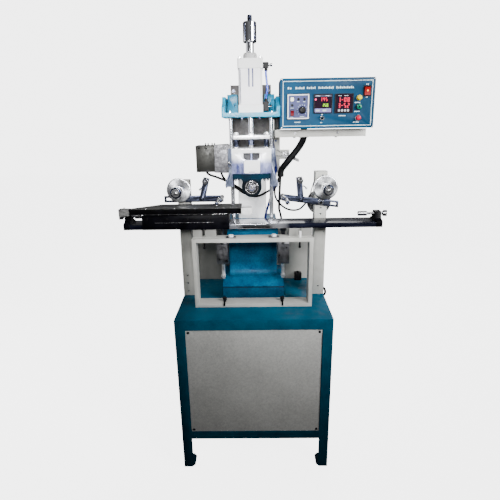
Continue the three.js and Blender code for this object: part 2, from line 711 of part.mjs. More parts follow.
// The belt loop is the space between two outlines round both pulleys.
function beltOutline(extra) {
  const big = { x: REEL.x, z: REEL.rightZ, r: BELT.driven + extra };
  const small = { x: BELT.motorX, z: BELT.motorZ, r: BELT.driver + extra };
  const distance = Math.hypot(small.x - big.x, small.z - big.z);
  const towards = Math.atan2(small.z - big.z, small.x - big.x);
  const spread = Math.acos((big.r - small.r) / distance);
  const shape = new THREE.Shape();
  shape.absarc(big.x, big.z, big.r, towards + spread, towards - spread + Math.PI * 2);
  shape.absarc(small.x, small.z, small.r, towards - spread, towards + spread);
  return shape;
}

function rewindBelt() {
  const y = [BELT.front, BELT.back];
  const clear = 0.5;
  const outside = prism(beltOutline(clear + BELT.thick), DEEP, y, 10);
  return cut(outside, prism(beltOutline(clear), DEEP, [y[0] - 1, y[1] + 1], 10));
}

function motorPulley() {
  const centre = [BELT.motorX, BELT.motorZ];
  const steps = [[BELT.driver, BELT.front - 2], [BELT.driver, BELT.back + 2], [5, BELT.back + 2], [5, 96]];
  return turned(steps, DEEP, centre, 20);
}

// A round geared motor behind the right post, held off it by a spacer.
function rewindMotor() {
  const centre = [285, 1080];
  const can = turned([[50, 80], [50, 112], [42, 114], [42, 152], [36, 156]], DEEP, centre, 24);
  const spacer = block([284, 304], [POST.back + GAP, 84], [1033, 1060]);
  return cut(join(can, spacer), rod(5 + GAP, DEEP, [BELT.motorX, BELT.motorZ], [79, 98]));
}

// ---------------------------------------------------------------- junction box and panel
function junctionBox() {
  const y = [42, 122];
  const shape = new THREE.Shape();
  shape.moveTo(-152, 1216);
  shape.lineTo(-100, 1214);
  shape.quadraticCurveTo(-82, 1216, -82, 1236);
  shape.lineTo(-82, 1304);
  shape.quadraticCurveTo(-82, 1326, -102, 1328);
  shape.lineTo(-152, 1325);
  return join(
    prism(shape, DEEP, y, 6),
    block([-226, -151], [y[0] - 2, y[1] + 2], [1219, 1324]),
    block([-84, -COLUMN.halfWidth - GAP], [108, 120], [1240, 1300]),
  );
}

// A sheet arm for the panel, on a post bolted to the column's right side.
function panelStand() {
  const arm = { left: 92, right: 438, bottom: 1353, top: 1381, front: -25, back: 35, skin: 3 };
  const { bottom, top, front, back, skin } = arm;
  const channel = [
    [front, bottom], [front + skin, bottom], [front + skin, top - skin], [back - skin, top - skin],
    [back - skin, bottom], [back, bottom], [back, top], [front, top],
  ];
  const upright = block([COLUMN.halfWidth + GAP, 118], [108, 160], [1205, top]);
  const pieces = [
    prism(channel, ACROSS, [arm.left, arm.right]),
    block([arm.right - skin, arm.right], [front, back], [bottom, top]),
    block([arm.left, 118], [front, 160], [bottom, top]),
    upright,
    block([116, 158], [108, 122], [1262, 1300]),
  ];
  const cableHole = rod(CONDUIT_RADIUS + 2, UP, [205, 8], [bottom, top + 1], 16);
  const leverHole = rod(5 + GAP, DEEP, [142, 1281], [107, 123]);
  return cut(join(...pieces), cableHole, leverHole);
}

function clampLever() {
  const pivot = [142, 1281];
  const outline = [[132, 1276], [138, 1290], [198, 1259], [196, 1250]];
  return join(
    prism(outline, DEEP, [92, 99]),
    rod(14, DEEP, pivot, [90, 107.7], 18),
    hexagon(20, DEEP, pivot, [80, 91]),
    rod(5, DEEP, pivot, [89, 128]),
  );
}

const INSTRUMENTS = {
  dial_instrument: { x: [131, 213], z: [1416, 1505], finish: "blue" },
  temperature_controller: { x: [228, 295], z: [1436, 1503], finish: "plastic" },
  timer_unit: { x: [304, 371], z: [1436, 1503], finish: "plastic" },
};
const DIAL_KNOB = { x: 187, z: 1449 };
const SMALL_ROCKER = { x: [145, 156], z: [1430, 1449] };
const MAINS_ROCKER = { x: [409, 429], z: [1497, 1525], clear: 2 };
const TOGGLE = { x: 260, z: 1420 };
const BUTTONS = {
  yellow: { x: 391, z: 1488 },
  green: { x: 391, z: 1457 },
  red: { x: 391, z: 1419 },
};
const BEZEL = { lip: 5, inset: 4 };

function panelBox() {
  const { left, right, bottom, top, front, skin, back } = PANEL;
  const wall = 2;
  const start = front + skin + GAP;
  const x = [left + 1, right - 1];
  const z = [bottom + 0.5, top - 1];
  const outside = block(x, [start, back], z);
  const inside = block(
    [x[0] + wall, x[1] - wall],
    [start - 1, back - wall],
    [z[0] + wall, z[1] - wall],
  );
  return cut(outside, inside);
}

function panelFace() {
  const { left, right, bottom, top, front, skin } = PANEL;
  const y = [front, front + skin];
  const through = [y[0] - 1, y[1] + 1];
  const face = prism(roundedRect([left, right], [bottom, top], 3), DEEP, y);
  const holes = [];
  for (const { x, z } of Object.values(INSTRUMENTS)) {
    const inset = BEZEL.inset - GAP;
    holes.push(block([x[0] + inset, x[1] - inset], through, [z[0] + inset, z[1] - inset]));
  }
  for (const { x, z } of Object.values(BUTTONS)) {
    holes.push(rod(5 + GAP, DEEP, [x, z], through));
  }
  const { x, z, clear } = MAINS_ROCKER;
  holes.push(block([x[0] - GAP, x[1] + GAP], through, [z[0] - clear, z[1] + clear]));
  holes.push(rod(7, DEEP, [TOGGLE.x, TOGGLE.z], through));
  return cut(face, ...holes);
}

function instrument(name) {
  const { x, z } = INSTRUMENTS[name];
  const { lip, inset } = BEZEL;
  const seat = PANEL.front - GAP;
  const bezel = prism(roundedRect(x, z, 3), DEEP, [seat - lip, seat]);
  const body = block([x[0] + inset, x[1] - inset], [seat - 1, -30], [z[0] + inset, z[1] - inset]);
  const whole = join(bezel, body);
  if (name !== "dial_instrument") return whole;
  const { x: rx, z: rz } = SMALL_ROCKER;
  return cut(
    whole,
    rod(3 + GAP, DEEP, [DIAL_KNOB.x, DIAL_KNOB.z], [-90, -66]),
    block([rx[0] - GAP, rx[1] + GAP], [-90, -70], [rz[0] - 1.5, rz[1] + 1.5]),
  );
}

// A push-button: a round cap on a stem that slides through the panel.
function pushButton(colour) {
  const { x, z } = BUTTONS[colour];
  const steps = [[7.5, -95], [8.5, -94], [8.5, -85], [5, -85], [5, -60]];
  return turned(steps, DEEP, [x, z], 14);
}

// A rocker paddle, tilted about its pivot so that its upper edge stands out.
function rocker({ x, z }, front, depth, tilt) {
  const middle = (z[0] + z[1]) / 2;
  const outline = [[0, z[0] - middle], [depth, z[0] - middle], [depth, z[1] - middle], [0, z[1] - middle]];
  const geometry = new THREE.ExtrudeGeometry(polygon(outline), { depth: x[1] - x[0], bevelEnabled: false });
  geometry.applyMatrix4(FRAMES.x);
  geometry.translate(x[0], -depth, 0);
  geometry.rotateX(THREE.MathUtils.degToRad(tilt));
  geometry.translate(0, front + depth, middle);
  return solidOf(geometry);
}

// The bat of the toggle switch, tilted up about its pivot behind the panel.
function toggleSwitch() {
  const pivotY = -77;
  const profile = [[0, 0], [2.2, 0], [2.2, 12], [3.4, 22], [2.4, 24], [0, 24]];
  const geometry = new THREE.LatheGeometry(profile.map(([r, a]) => new THREE.Vector2(r, a)), 16);
  geometry.rotateX(Math.PI);
  geometry.rotateX(THREE.MathUtils.degToRad(-12));
  geometry.translate(TOGGLE.x, pivotY, TOGGLE.z);
  return solidOf(geometry);
}

function dialKnob() {
  const { x, z } = DIAL_KNOB;
  const steps = [[10, -103], [12, -102], [13, -87.5], [3, -87.5], [3, -68]];
  const knob = turned(steps, DEEP, [x, z], 20);
  return cut(knob, block([x - 0.8, x + 0.8], [-104, -101.5], [z, z + 14]));
}

// ---------------------------------------------------------------- wiring
// The loom: a thick conduit from the panel, and four branches that leave it beside the
// column: two to the junction box, one to the rewind motor and one down to the cabinet.
const CONDUIT_RADIUS = 13.5;
const LOOM_NODE = [125, 92, 1222];
const CONDUIT = [
  [205, 8, 1383.9], [205, 8, 1372], [205, 14, 1348], [192, 40, 1315], [168, 56, 1281],
  [147, 66, 1254], [133, 82, 1234], LOOM_NODE, [121, 93, 1206], [120, 93, 1190],
];
const BOX_CABLES = [
  [[-188, 82, 1218.5], [-188, 82, 1213], [-178, 78, 1205], [-150, 68, 1196], [-109, 62, 1180],
    [-70, 60, 1160], [-35, 60, 1136], [0, 60, 1117]],
  [[-128, 82, 1213.6], [-127.4, 82, 1207], [-116, 72, 1188], [-92, 62, 1164], [-62, 61, 1146],
    [-30, 60, 1126], [0, 60, 1115], [26, 66, 1114], [54, 74, 1125], [78, 76, 1140],
    [104, 82, 1168], [119, 91, 1200], LOOM_NODE],
];
const MOTOR_CABLE = [
  LOOM_NODE, [120, 90, 1190], [108, 78, 1168], [95, 68, 1139], [98, 66, 1109], [117, 70, 1079],
  [147, 80, 1055], [181, 92, 1046], [206, 98, 1051], [224, 100, 1068], [232.3, 100, 1077.6],
];
const DROP_CABLE = [
  [120, 93, 1195], [118, 94, 1150], [116, 96, 1100], [116, 112, 1060], [120, 168, 1034],
  [128, 212, 1006], [136, 221, 965], [146, 222, 860], [160, 222, 780], [184, 221, 722],
  [226, 221, 700], [262, 218, 697], [284, 192, 697], [292, 130, 697],
  [304, 80, 699], [319, 66, 690], [322, 60, 676], [317, 60, 664], [311, 60, 662], [305.3, 60, 662],
];
const POST_CABLE = [
  [304, 92, 1031.6], [305, 92, 1024], [313, 90, 1004], [315, 88, 980], [313, 88, 880], [309, 90, 780],
  [303, 90, 715], [304, 80, 699],
];

function wiringLoom() {
  return join(
    tube(CONDUIT, CONDUIT_RADIUS, { sides: 12, steps: 12 }),
    tube(BOX_CABLES[0], 4.8, { steps: 12 }),
    tube(BOX_CABLES[1], 4.8, { steps: 18 }),
    tube(MOTOR_CABLE, 4, { steps: 16 }),
    tube(DROP_CABLE, 5, { steps: 28 }),
    tube(POST_CABLE, 5, { steps: 12 }),
  );
}

// ---------------------------------------------------------------- the machine
place("cabinet_frame", cabinetFrame(), "teal");
place("front_panel", frontPanel(), "speckle");
place("rear_cover", rearCover(), "teal");
place("bed_casting", bedCasting(), "teal");
place("box_frame", boxFrame(), "cream");
place("back_sheet", backSheet(), "cream");
place("switch_box", switchBox(), "plastic");
place("slide_rail", slideRail(), "chrome");
place("press_column", pressColumn(), "cream");
place("cylinder_bracket", cylinderBracket(), "brightTeal");
place("cylinder_body", cylinderBody(), "aluminium");
for (const { name, s } of SIDES) {
  place(`${name}_post`, post(s), "cream");
  place(`${name}_bed_clamp`, bedClamp(s), "dullSteel");
  place(`${name}_rail_bracket`, railBracket(s), "black");
  place(`${name}_stop_screw`, stopScrew(s), "steel");
  place(`${name}_guide_rod`, guideRod(s), "chrome");
  place(`${name}_foil_arm`, foilArm(name), "blued");
  place(`${name}_upright_arm`, uprightArm(name), "blued");
  place(`${name}_tip_roller`, tipRoller(name), "chrome");
  place(`${name}_foil_reel`, foilReel(name), "aluminium");
}
place("table_saddle", tableSaddle(), "black");
place("table_plate", tablePlate(), "black");
place("piston_rod", pistonRod(), "chrome");
place("stroke_nut", strokeNut(), "chrome");
place("cross_plate", crossPlate(), "aluminium");
place("head_block", headBlock(), "aluminium");
place("front_bearing", bearingBlock(70, [-126, -102]), "deepBlue");
place("rear_bearing", bearingBlock(60, [6, 30]), "deepBlue");
place("roller_shaft", rollerShaft(), "steel");
place("roller_sleeve", rollerSleeve(), "silicone");
place("cylinder_air_line", cylinderAirLine(), "airBlue");
place("supply_air_tube", tube(SUPPLY_TUBE, 5, { steps: 18 }), "airBlue");
place("rewind_motor", rewindMotor(), "dullSteel");
place("rewind_belt", rewindBelt(), "plastic");
place("motor_pulley", motorPulley(), "steel");
place("junction_box", junctionBox(), "dullSteel");
place("panel_stand", panelStand(), "cream");
place("clamp_lever", clampLever(), "steel");
place("panel_box", panelBox(), "blue");
place("panel_face", panelFace(), "blue");
for (const name of Object.keys(INSTRUMENTS)) {
  place(name, instrument(name), INSTRUMENTS[name].finish);
}
for (const colour of Object.keys(BUTTONS)) {
  place(`${colour}_button`, pushButton(colour), colour);
}
place("mains_rocker", rocker(MAINS_ROCKER, -90, 12, 7), "litRed");
place("small_rocker", rocker(SMALL_ROCKER, -89, 8, 7), "red");
place("toggle_switch", toggleSwitch(), "chrome");
place("dial_knob", dialKnob(), "plastic");
place("wiring_loom", wiringLoom(), "plastic");

export default machine;
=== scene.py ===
"""Looks for the hot foil stamper: finishes for the CAD nodes, and the finer pieces that
stand for round or detailed nodes.  Lengths in this file are millimetres in the machine's
frame (X to the right, Y to the back, Z up); they become metres where a mesh is made."""
import json
import math

import bmesh
import bpy
from mathutils import Matrix, Vector


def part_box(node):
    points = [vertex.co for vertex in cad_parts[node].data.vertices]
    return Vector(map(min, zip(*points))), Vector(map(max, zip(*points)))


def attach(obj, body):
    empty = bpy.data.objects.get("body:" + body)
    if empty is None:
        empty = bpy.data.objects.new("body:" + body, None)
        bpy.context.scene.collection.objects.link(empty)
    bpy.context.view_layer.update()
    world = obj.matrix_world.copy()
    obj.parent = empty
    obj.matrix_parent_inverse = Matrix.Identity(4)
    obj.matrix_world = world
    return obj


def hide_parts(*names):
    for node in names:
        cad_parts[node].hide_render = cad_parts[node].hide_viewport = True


MM = 0.001
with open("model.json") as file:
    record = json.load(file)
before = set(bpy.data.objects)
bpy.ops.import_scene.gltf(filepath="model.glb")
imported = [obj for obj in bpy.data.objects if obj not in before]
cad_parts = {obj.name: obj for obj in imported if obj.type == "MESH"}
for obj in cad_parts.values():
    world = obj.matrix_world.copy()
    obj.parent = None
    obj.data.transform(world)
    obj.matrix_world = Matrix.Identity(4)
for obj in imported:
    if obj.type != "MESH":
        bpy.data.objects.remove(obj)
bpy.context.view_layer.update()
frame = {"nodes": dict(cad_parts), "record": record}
NODES = frame["nodes"]
SLOT_OF = {entry["node"]: entry["material_slot"] for entry in frame["record"]["subparts"]}
BODY_OF = {
    node: body
    for body, members in frame["record"]["behaviour"]["bodies"].items()
    for node in members
}
SIDES = {"left": -1, "right": 1}


# ---------------------------------------------------------------- shader node helpers
def add_node(tree, kind, **inputs):
    """A new node with some inputs set; an underscore stands for a space."""
    made = tree.nodes.new(kind)
    for name, value in inputs.items():
        made.inputs[name.replace("_", " ")].default_value = value
    return made


def set_stops(ramp, stops):
    """Gives a colour ramp its (position, colour) stops."""
    elements = ramp.color_ramp.elements
    for index, (where, color) in enumerate(stops):
        stop = elements[index] if index < 2 else elements.new(where)
        stop.position = where
        stop.color = (*color, 1)


# ---------------------------------------------------------------- camera, floor and light
CAMERA_AT = (11.74, -1653.70, 1389.60)
CAMERA_PITCH = -0.290  # radians, looking down
CAMERA_YAW = -0.0146
CAMERA_ROLL = -0.0166
CAMERA_LENS = 29.44  # on a 36 mm sensor
WALL_GLOW = 4.6
FLOOR_GLOW = 4.4
FLOOR_HALF = 12  # metres
SKY = [(0.0, 0.03), (0.36, 0.06), (0.43, 0.5), (0.5, 0.9), (0.58, 0.6), (0.72, 1.0), (0.85, 0.4), (1.0, 0.6)]
LIGHTS = [  # name, place and target (metres), side of the soft box (metres), watts, beam (degrees)
    ("key", (1.5, -1.35, 1.9), (0.35, 0, 1.35), 0.9, 14.5, 70),
    ("fill", (-2.0, -1.9, 1.5), (0, 0, 1.0), 1.2, 1.0, 180),
    ("side", (-2.5, 0.4, 1.5), (0, 0, 0.8), 1.4, 14, 180),
    ("head_light", (-0.1, -1.3, 1.6), (0, 0, 1.33), 0.4, 3.8, 60),
    ("back", (0.6, 2.6, 2.6), (0, 0, 1.2), 1.6, 40, 180),
]


def make_camera():
    data = bpy.data.cameras.new("camera")
    data.lens = CAMERA_LENS
    data.sensor_width = 36
    data.clip_end = 100
    camera = bpy.data.objects.new("camera", data)
    cos_p, sin_p = math.cos(CAMERA_PITCH), math.sin(CAMERA_PITCH)
    cos_y, sin_y = math.cos(CAMERA_YAW), math.sin(CAMERA_YAW)
    forward = Vector((sin_y * cos_p, cos_y * cos_p, sin_p))
    level = Vector((cos_y, -sin_y, 0))
    above = level.cross(forward)
    right = math.cos(CAMERA_ROLL) * level + math.sin(CAMERA_ROLL) * above
    up = right.cross(forward)
    turn = Matrix((right, up, -forward)).transposed()
    camera.matrix_world = Matrix.Translation(Vector(CAMERA_AT) * MM) @ turn.to_4x4()
    bpy.context.scene.collection.objects.link(camera)
    bpy.context.scene.camera = camera


def make_light(name, position, target, size, watts, beam):
    """A square soft box that faces its target."""
    data = bpy.data.lights.new(name, "AREA")
    data.shape = "SQUARE"
    data.size = size
    data.energy = watts
    data.spread = math.radians(beam)
    lamp = bpy.data.objects.new(name, data)
    turn = (Vector(target) - Vector(position)).to_track_quat("-Z", "Y").to_matrix().to_4x4()
    lamp.matrix_world = Matrix.Translation(position) @ turn
    bpy.context.scene.collection.objects.link(lamp)


def make_world():
    """White everywhere for the camera; for reflections, a soft gradient that is dark at the sides."""
    world = bpy.data.worlds.new("studio")
    world.use_nodes = True
    tree = world.node_tree
    tree.nodes.clear()
    link = tree.links.new
    split = add_node(tree, "ShaderNodeSeparateXYZ")
    link(add_node(tree, "ShaderNodeTexCoord").outputs["Generated"], split.inputs[0])
    height = add_node(tree, "ShaderNodeMapRange", From_Min=-1, From_Max=1)
    link(split.outputs["Z"], height.inputs["Value"])
    ramp = add_node(tree, "ShaderNodeValToRGB")
    set_stops(ramp, [(where, (value, value, value * 1.02)) for where, value in SKY])
    link(height.outputs["Result"], ramp.inputs[0])
    aside = add_node(tree, "ShaderNodeMath")
    aside.operation = "ABSOLUTE"
    link(split.outputs["X"], aside.inputs[0])
    shade = add_node(tree, "ShaderNodeMapRange", From_Min=0.35, From_Max=0.85, To_Min=0.24, To_Max=0.1)
    link(aside.outputs[0], shade.inputs["Value"])
    soft = add_node(tree, "ShaderNodeBackground")
    link(shade.outputs["Result"], soft.inputs["Strength"])
    link(ramp.outputs["Color"], soft.inputs["Color"])
    plain = add_node(tree, "ShaderNodeBackground", Color=(1, 1, 1, 1), Strength=WALL_GLOW)
    mix = add_node(tree, "ShaderNodeMixShader")
    link(add_node(tree, "ShaderNodeLightPath").outputs["Is Camera Ray"], mix.inputs[0])
    link(soft.outputs[0], mix.inputs[1])
    link(plain.outputs[0], mix.inputs[2])
    link(mix.outputs[0], add_node(tree, "ShaderNodeOutputWorld").inputs[0])
    bpy.context.scene.world = world


def make_floor():
    mesh = bpy.data.meshes.new("floor")
    corners = [(x * FLOOR_HALF, y * FLOOR_HALF, 0) for x, y in ((-1, -1), (1, -1), (1, 1), (-1, 1))]
    mesh.from_pydata(corners, [], [(0, 1, 2, 3)])
    floor = bpy.data.objects.new("floor", mesh)
    paint = bpy.data.materials.new("floor_white")
    paint.use_nodes = True
    shader = paint.node_tree.nodes["Principled BSDF"]
    shader.inputs["Base Color"].default_value = (0.95, 0.95, 0.95, 1)
    shader.inputs["Roughness"].default_value = 0.9
    shader.inputs["Emission Color"].default_value = (1, 1, 1, 1)
    shader.inputs["Emission Strength"].default_value = FLOOR_GLOW
    mesh.materials.append(paint)
    floor.visible_diffuse = False
    floor.visible_glossy = False
    bpy.context.scene.collection.objects.link(floor)


make_camera()
make_world()
make_floor()
for light in LIGHTS:
    make_light(*light)


# ---------------------------------------------------------------- finishes
class Finish:
    """A procedural material on a Principled shader, in object coordinates (metres)."""

    def __init__(self, name, color, roughness, metallic=0.0, round_mm=0.0, specular=0.5):
        self.material = bpy.data.materials.new(name)
        self.material.use_nodes = True
        self.tree = self.material.node_tree
        self.shader = self.tree.nodes["Principled BSDF"]
        self.set("Base Color", (*color, 1))
        self.set("Roughness", roughness)
        self.set("Metallic", metallic)
        self.set("Specular IOR Level", specular)
        self.coordinate = self.node("ShaderNodeTexCoord").outputs["Object"]
        self.color = None
        self.normal = None
        if round_mm:
            bevel = self.node("ShaderNodeBevel", Radius=round_mm * MM)
            bevel.samples = 4
            self.use_normal(bevel)

    def set(self, socket, value):
        self.shader.inputs[socket].default_value = value
        return self

    def node(self, kind, **inputs):
        return add_node(self.tree, kind, **inputs)

    def link(self, output, target):
        self.tree.links.new(output, target)

    def use_normal(self, source):
        self.normal = source.outputs["Normal"]
        self.link(self.normal, self.shader.inputs["Normal"])

    def stretched(self, stretch):
        """Object coordinates scaled differently along each axis."""
        mapping = self.node("ShaderNodeMapping", Scale=stretch)
        self.link(self.coordinate, mapping.inputs["Vector"])
        return mapping.outputs["Vector"]

    def along(self, axis):
        """The coordinate along one axis, in metres."""
        split = self.node("ShaderNodeSeparateXYZ")
        self.link(self.coordinate, split.inputs[0])
        return split.outputs[axis]

    def noise(self, size_mm, detail=4, stretch=(1, 1, 1), rough=0.6):
        """A noise value whose features are about size_mm across."""
        made = self.node("ShaderNodeTexNoise", Scale=1000 / size_mm, Detail=detail, Roughness=rough)
        self.link(self.stretched(stretch), made.inputs["Vector"])
        return made.outputs["Fac"]

    def remap(self, value, start, end, first=0.0, last=1.0):
        """A value from start to end, turned into a number from first to last."""
        made = self.node("ShaderNodeMapRange", From_Min=start, From_Max=end, To_Min=first, To_Max=last)
        self.link(value, made.inputs["Value"])
        return made.outputs["Result"]

    def math(self, operation, value, number=0.0):
        made = self.node("ShaderNodeMath")
        made.operation = operation
        self.link(value, made.inputs[0])
        made.inputs[1].default_value = number
        return made.outputs[0]

    def ramp(self, value, low, high, start=0.35, end=0.65):
        """A value turned into a colour between low and high."""
        return self.stops(value, [(start, low), (end, high)])

    def stops(self, value, stops):
        made = self.node("ShaderNodeValToRGB")
        set_stops(made, stops)
        self.link(value, made.inputs[0])
        return made.outputs["Color"]

    def mix(self, share, first, second, blend="MIX"):
        """Two colours in one; without a share the second acts in full."""
        made = self.node("ShaderNodeMix")
        made.data_type = "RGBA"
        made.blend_type = blend
        made.inputs["Factor"].default_value = 1.0
        if share:
            self.link(share, made.inputs["Factor"])
        self.link(first, made.inputs["A"])
        self.link(second, made.inputs["B"])
        return made.outputs["Result"]

    def bands(self, axis, edges, colors):
        """Bands of colour along one axis: colors[i] lies below edges[i], in mm."""
        place = self.along(axis)
        color = colors[0]
        for edge, following in zip(edges, colors[1:]):
            color = self.mix(self.math("GREATER_THAN", place, edge * MM), color, following)
        return color

    def paint(self, color):
        self.color = color
        self.link(color, self.shader.inputs["Base Color"])
        return self

    def shade(self, axis, stops):
        """Multiplies the colour by a factor that follows stops, (place in mm, factor), along one axis."""
        first, last = stops[0][0], stops[-1][0]
        share = self.remap(self.along(axis), first * MM, last * MM)
        grey = [((place - first) / (last - first), (factor,) * 3) for place, factor in stops]
        return self.paint(self.mix(None, self.color, self.stops(share, grey), "MULTIPLY"))

    def mottle(self, low, high, size_mm, start=0.35, end=0.65, detail=4, stretch=(1, 1, 1)):
        """Colour that drifts between low and high."""
        return self.paint(self.ramp(self.noise(size_mm, detail, stretch), low, high, start, end))

    def wear(self, low, high, size_mm, stretch=(1, 1, 1)):
        """Roughness that drifts between low and high."""
        spread = self.remap(self.noise(size_mm, 3, stretch), 0.3, 0.7, low, high)
        self.link(spread, self.shader.inputs["Roughness"])
        return self

    def bump(self, value, depth_mm, strength=0.5):
        made = self.node("ShaderNodeBump", Strength=strength, Distance=depth_mm * MM)
        self.link(value, made.inputs["Height"])
        if self.normal:
            self.link(self.normal, made.inputs["Normal"])
        self.use_normal(made)
        return self

    def glow(self, color, strength):
        self.set("Emission Color", (*color, 1))
        return self.set("Emission Strength", strength)

    def coat(self, weight):
        self.set("Coat Weight", weight)
        return self.set("Coat Roughness", 0.1)


def scaled(color, factor):
    return tuple(factor * channel for channel in color)


def hammered(name, low, high, roughness, round_mm, cell, depth, specular=0.3):
    """Hammertone paint: small dimples, and a colour that is lighter between them."""
    made = Finish(name, low, roughness, 0.0, round_mm, specular)
    cells = made.node("ShaderNodeTexVoronoi", Scale=1000 / cell)
    made.link(made.stretched((1, 1, 1)), cells.inputs["Vector"])
    drift = made.ramp(made.noise(60, 3), low, high, 0.3, 0.72)
    bright = made.ramp(cells.outputs["Distance"], high, low, 0.0, 0.7)
    share = made.remap(made.noise(9, 2), 0.2, 0.8, 0.2, 0.55)
    made.paint(made.mix(share, drift, bright))
    made.wear(roughness * 0.75, roughness * 1.4, 30)
    return made.bump(cells.outputs["Distance"], depth)


def painted(name, low, high, roughness=0.45, round_mm=1.0, specular=0.3):
    """Satin paint with faint handling marks."""
    made = Finish(name, low, roughness, 0.0, round_mm, specular)
    made.mottle(low, high, 90, 0.3, 0.7, 5)
    made.wear(roughness * 0.8, roughness * 1.25, 40)
    return made.bump(made.noise(1.6, 2), 0.05, 0.25)


def metal(name, low, high, roughness, grain_mm, round_mm, depth, grain=(1, 1, 1), share=1.0):
    """Bare metal whose grain runs along the axis with the smallest stretch."""
    made = Finish(name, high, roughness, share, round_mm)
    made.mottle(low, high, grain_mm * 6, 0.25, 0.75, 4, grain)
    made.wear(roughness * 0.6, roughness * 1.5, grain_mm, grain)
    return made.bump(made.noise(grain_mm * 0.4, 2, grain), depth, 0.35)


def plastic(name, color, roughness=0.35, metallic=0.0):
    made = Finish(name, color, roughness, metallic, 0.3, 0.2)
    made.mottle(scaled(color, 0.8), color, 25, 0.3, 0.6)
    return made.bump(made.noise(0.7, 2), 0.02, 0.2)


def lit(name, color, strength):
    """A lit surface: its own colour is darker than what it gives out."""
    made = Finish(name, color, 0.4, specular=0.3).glow(color, strength)
    return made.mottle(scaled(color, 0.25), scaled(color, 0.4), 12)


def teal_casting():
    """The casting's hammertone, with painted shade and painted highlights in bands along its height: darker
    in its hollows, under the foot's edge and on the foot's front.
    """
    made = hammered("teal_casting", (0.0, 0.05, 0.135), (0.0, 0.19, 0.36), 0.42, 3.0, 7.0, 1.2, 0.22)
    return made.shade("Z", [
        (692, 0.4), (740, 0.5), (743.5, 0.1), (746, 0.1), (747.5, 1.0), (764, 0.9), (772, 0.5),
        (786, 0.9), (806, 0.85), (832, 0.55), (884, 0.6), (903, 0.42), (918, 0.7), (1011, 0.8),
    ])


def navy_casting():
    """The bearing housings' dark paint, with painted shade that makes it nearly black below the flange."""
    made = hammered("navy_casting", (0.0, 0.004, 0.011), (0.0, 0.022, 0.042), 0.45, 1.2, 3.0, 0.12, 0.06)
    return made.shade("Z", [(1130, 0.2), (1195, 0.3), (1210, 1.0), (1230, 1.0)])


def cabinet_paint():
    """The cabinet's finer hammertone, with painted shade that deepens it towards its feet and its left
    corner.
    """
    made = hammered("teal_paint_fine", (0.0, 0.06, 0.115), (0.0, 0.125, 0.215), 0.5, 1.2, 3.2, 0.12, 0.15)
    made.shade("Z", [(0, 0.5), (90, 0.5), (420, 0.75), (600, 1.0), (692, 1.0)])
    return made.shade("X", [(-305, 0.6), (-225, 0.95), (0, 1.0), (305, 1.0)])


def cream(name, low=(0.42, 0.42, 0.39), high=(0.58, 0.58, 0.55)):
    return painted(name, low, high, 0.5, 1.2)


def frame_paint():
    """Cream paint, with painted shade that greys the pads above the frame's top rail."""
    return cream("cream_frame").shade("Z", [(692, 1.0), (978.4, 1.0), (978.8, 0.42), (1004, 0.42)])


def sheet_paint():
    """Cream paint that darkens towards the left, away from the light."""
    made = cream("cream_sheet", (0.4, 0.4, 0.37), (0.5, 0.5, 0.47))
    return made.shade("X", [(-263, 0.5), (-120, 0.35), (100, 0.5), (160, 0.9), (259, 0.9)])


def speckled_panel():
    made = Finish("speckled_panel", (0.36, 0.36, 0.35), 0.5, 0.0, 0.6)
    fine = made.ramp(made.noise(9, 8, rough=0.95), (0.24, 0.245, 0.245), (0.74, 0.735, 0.7), 0.3, 0.62)
    broad = made.ramp(made.noise(170, 3), (0.42, 0.42, 0.4), (0.66, 0.66, 0.63), 0.3, 0.7)
    share = made.remap(made.noise(25, 2), 0.0, 1.0, 0.5, 0.75)
    made.paint(made.mix(share, broad, fine))
    made.wear(0.4, 0.6, 8)
    return made.bump(made.noise(2.4, 3), 0.12, 0.4)


def bracket_paint():
    """Bright teal, with the grey back plate behind it."""
    made = hammered("bracket_paint", (0.0, 0.13, 0.27), (0.0, 0.42, 0.62), 0.26, 1.2, 5.0, 0.6)
    grey = made.ramp(made.noise(40, 4), (0.07, 0.067, 0.067), (0.14, 0.132, 0.13))
    return made.paint(made.bands("Y", [79.9], [made.color, grey]))


def panel_paint():
    """The control panel's satin blue, with painted shade that darkens it towards the right."""
    made = painted("panel_blue", (0.0, 0.032, 0.08), (0.0, 0.055, 0.125), 0.5, 0.8, 0.15)
    return made.shade("X", [(140, 1.0), (250, 0.9), (420, 0.75)])


def junction_metal():
    """Nearly black on the left, as painted shade on that half; mottled cast metal on the right."""
    made = Finish("junction_metal", (0.2, 0.2, 0.2), 0.5, 0.5, 1.5)
    shaded_left = made.ramp(made.noise(50, 3), (0.022, 0.022, 0.02), (0.042, 0.042, 0.037))
    cast = made.ramp(made.noise(16, 6, rough=0.75), (0.035, 0.034, 0.038), (0.26, 0.26, 0.28), 0.33, 0.68)
    made.paint(made.bands("X", [-150.9], [shaded_left, cast]))
    made.wear(0.35, 0.6, 12)
    return made.bump(made.noise(7, 5), 0.3, 0.45)


def clamp_steel():
    """A mottled grey block with bright jack screws below it."""
    made = Finish("clamp_steel", (0.3, 0.3, 0.3), 0.4, 1.0, 0.8)
    block = made.ramp(made.noise(30, 5, rough=0.7), (0.12, 0.12, 0.13), (0.27, 0.27, 0.29))
    screw = made.ramp(made.noise(12, 2), (0.8, 0.8, 0.82), (0.96, 0.96, 0.98))
    made.paint(made.bands("Z", [845.9], [screw, block]))
    made.wear(0.25, 0.5, 15)
    return made.bump(made.noise(4, 4), 0.1, 0.3)


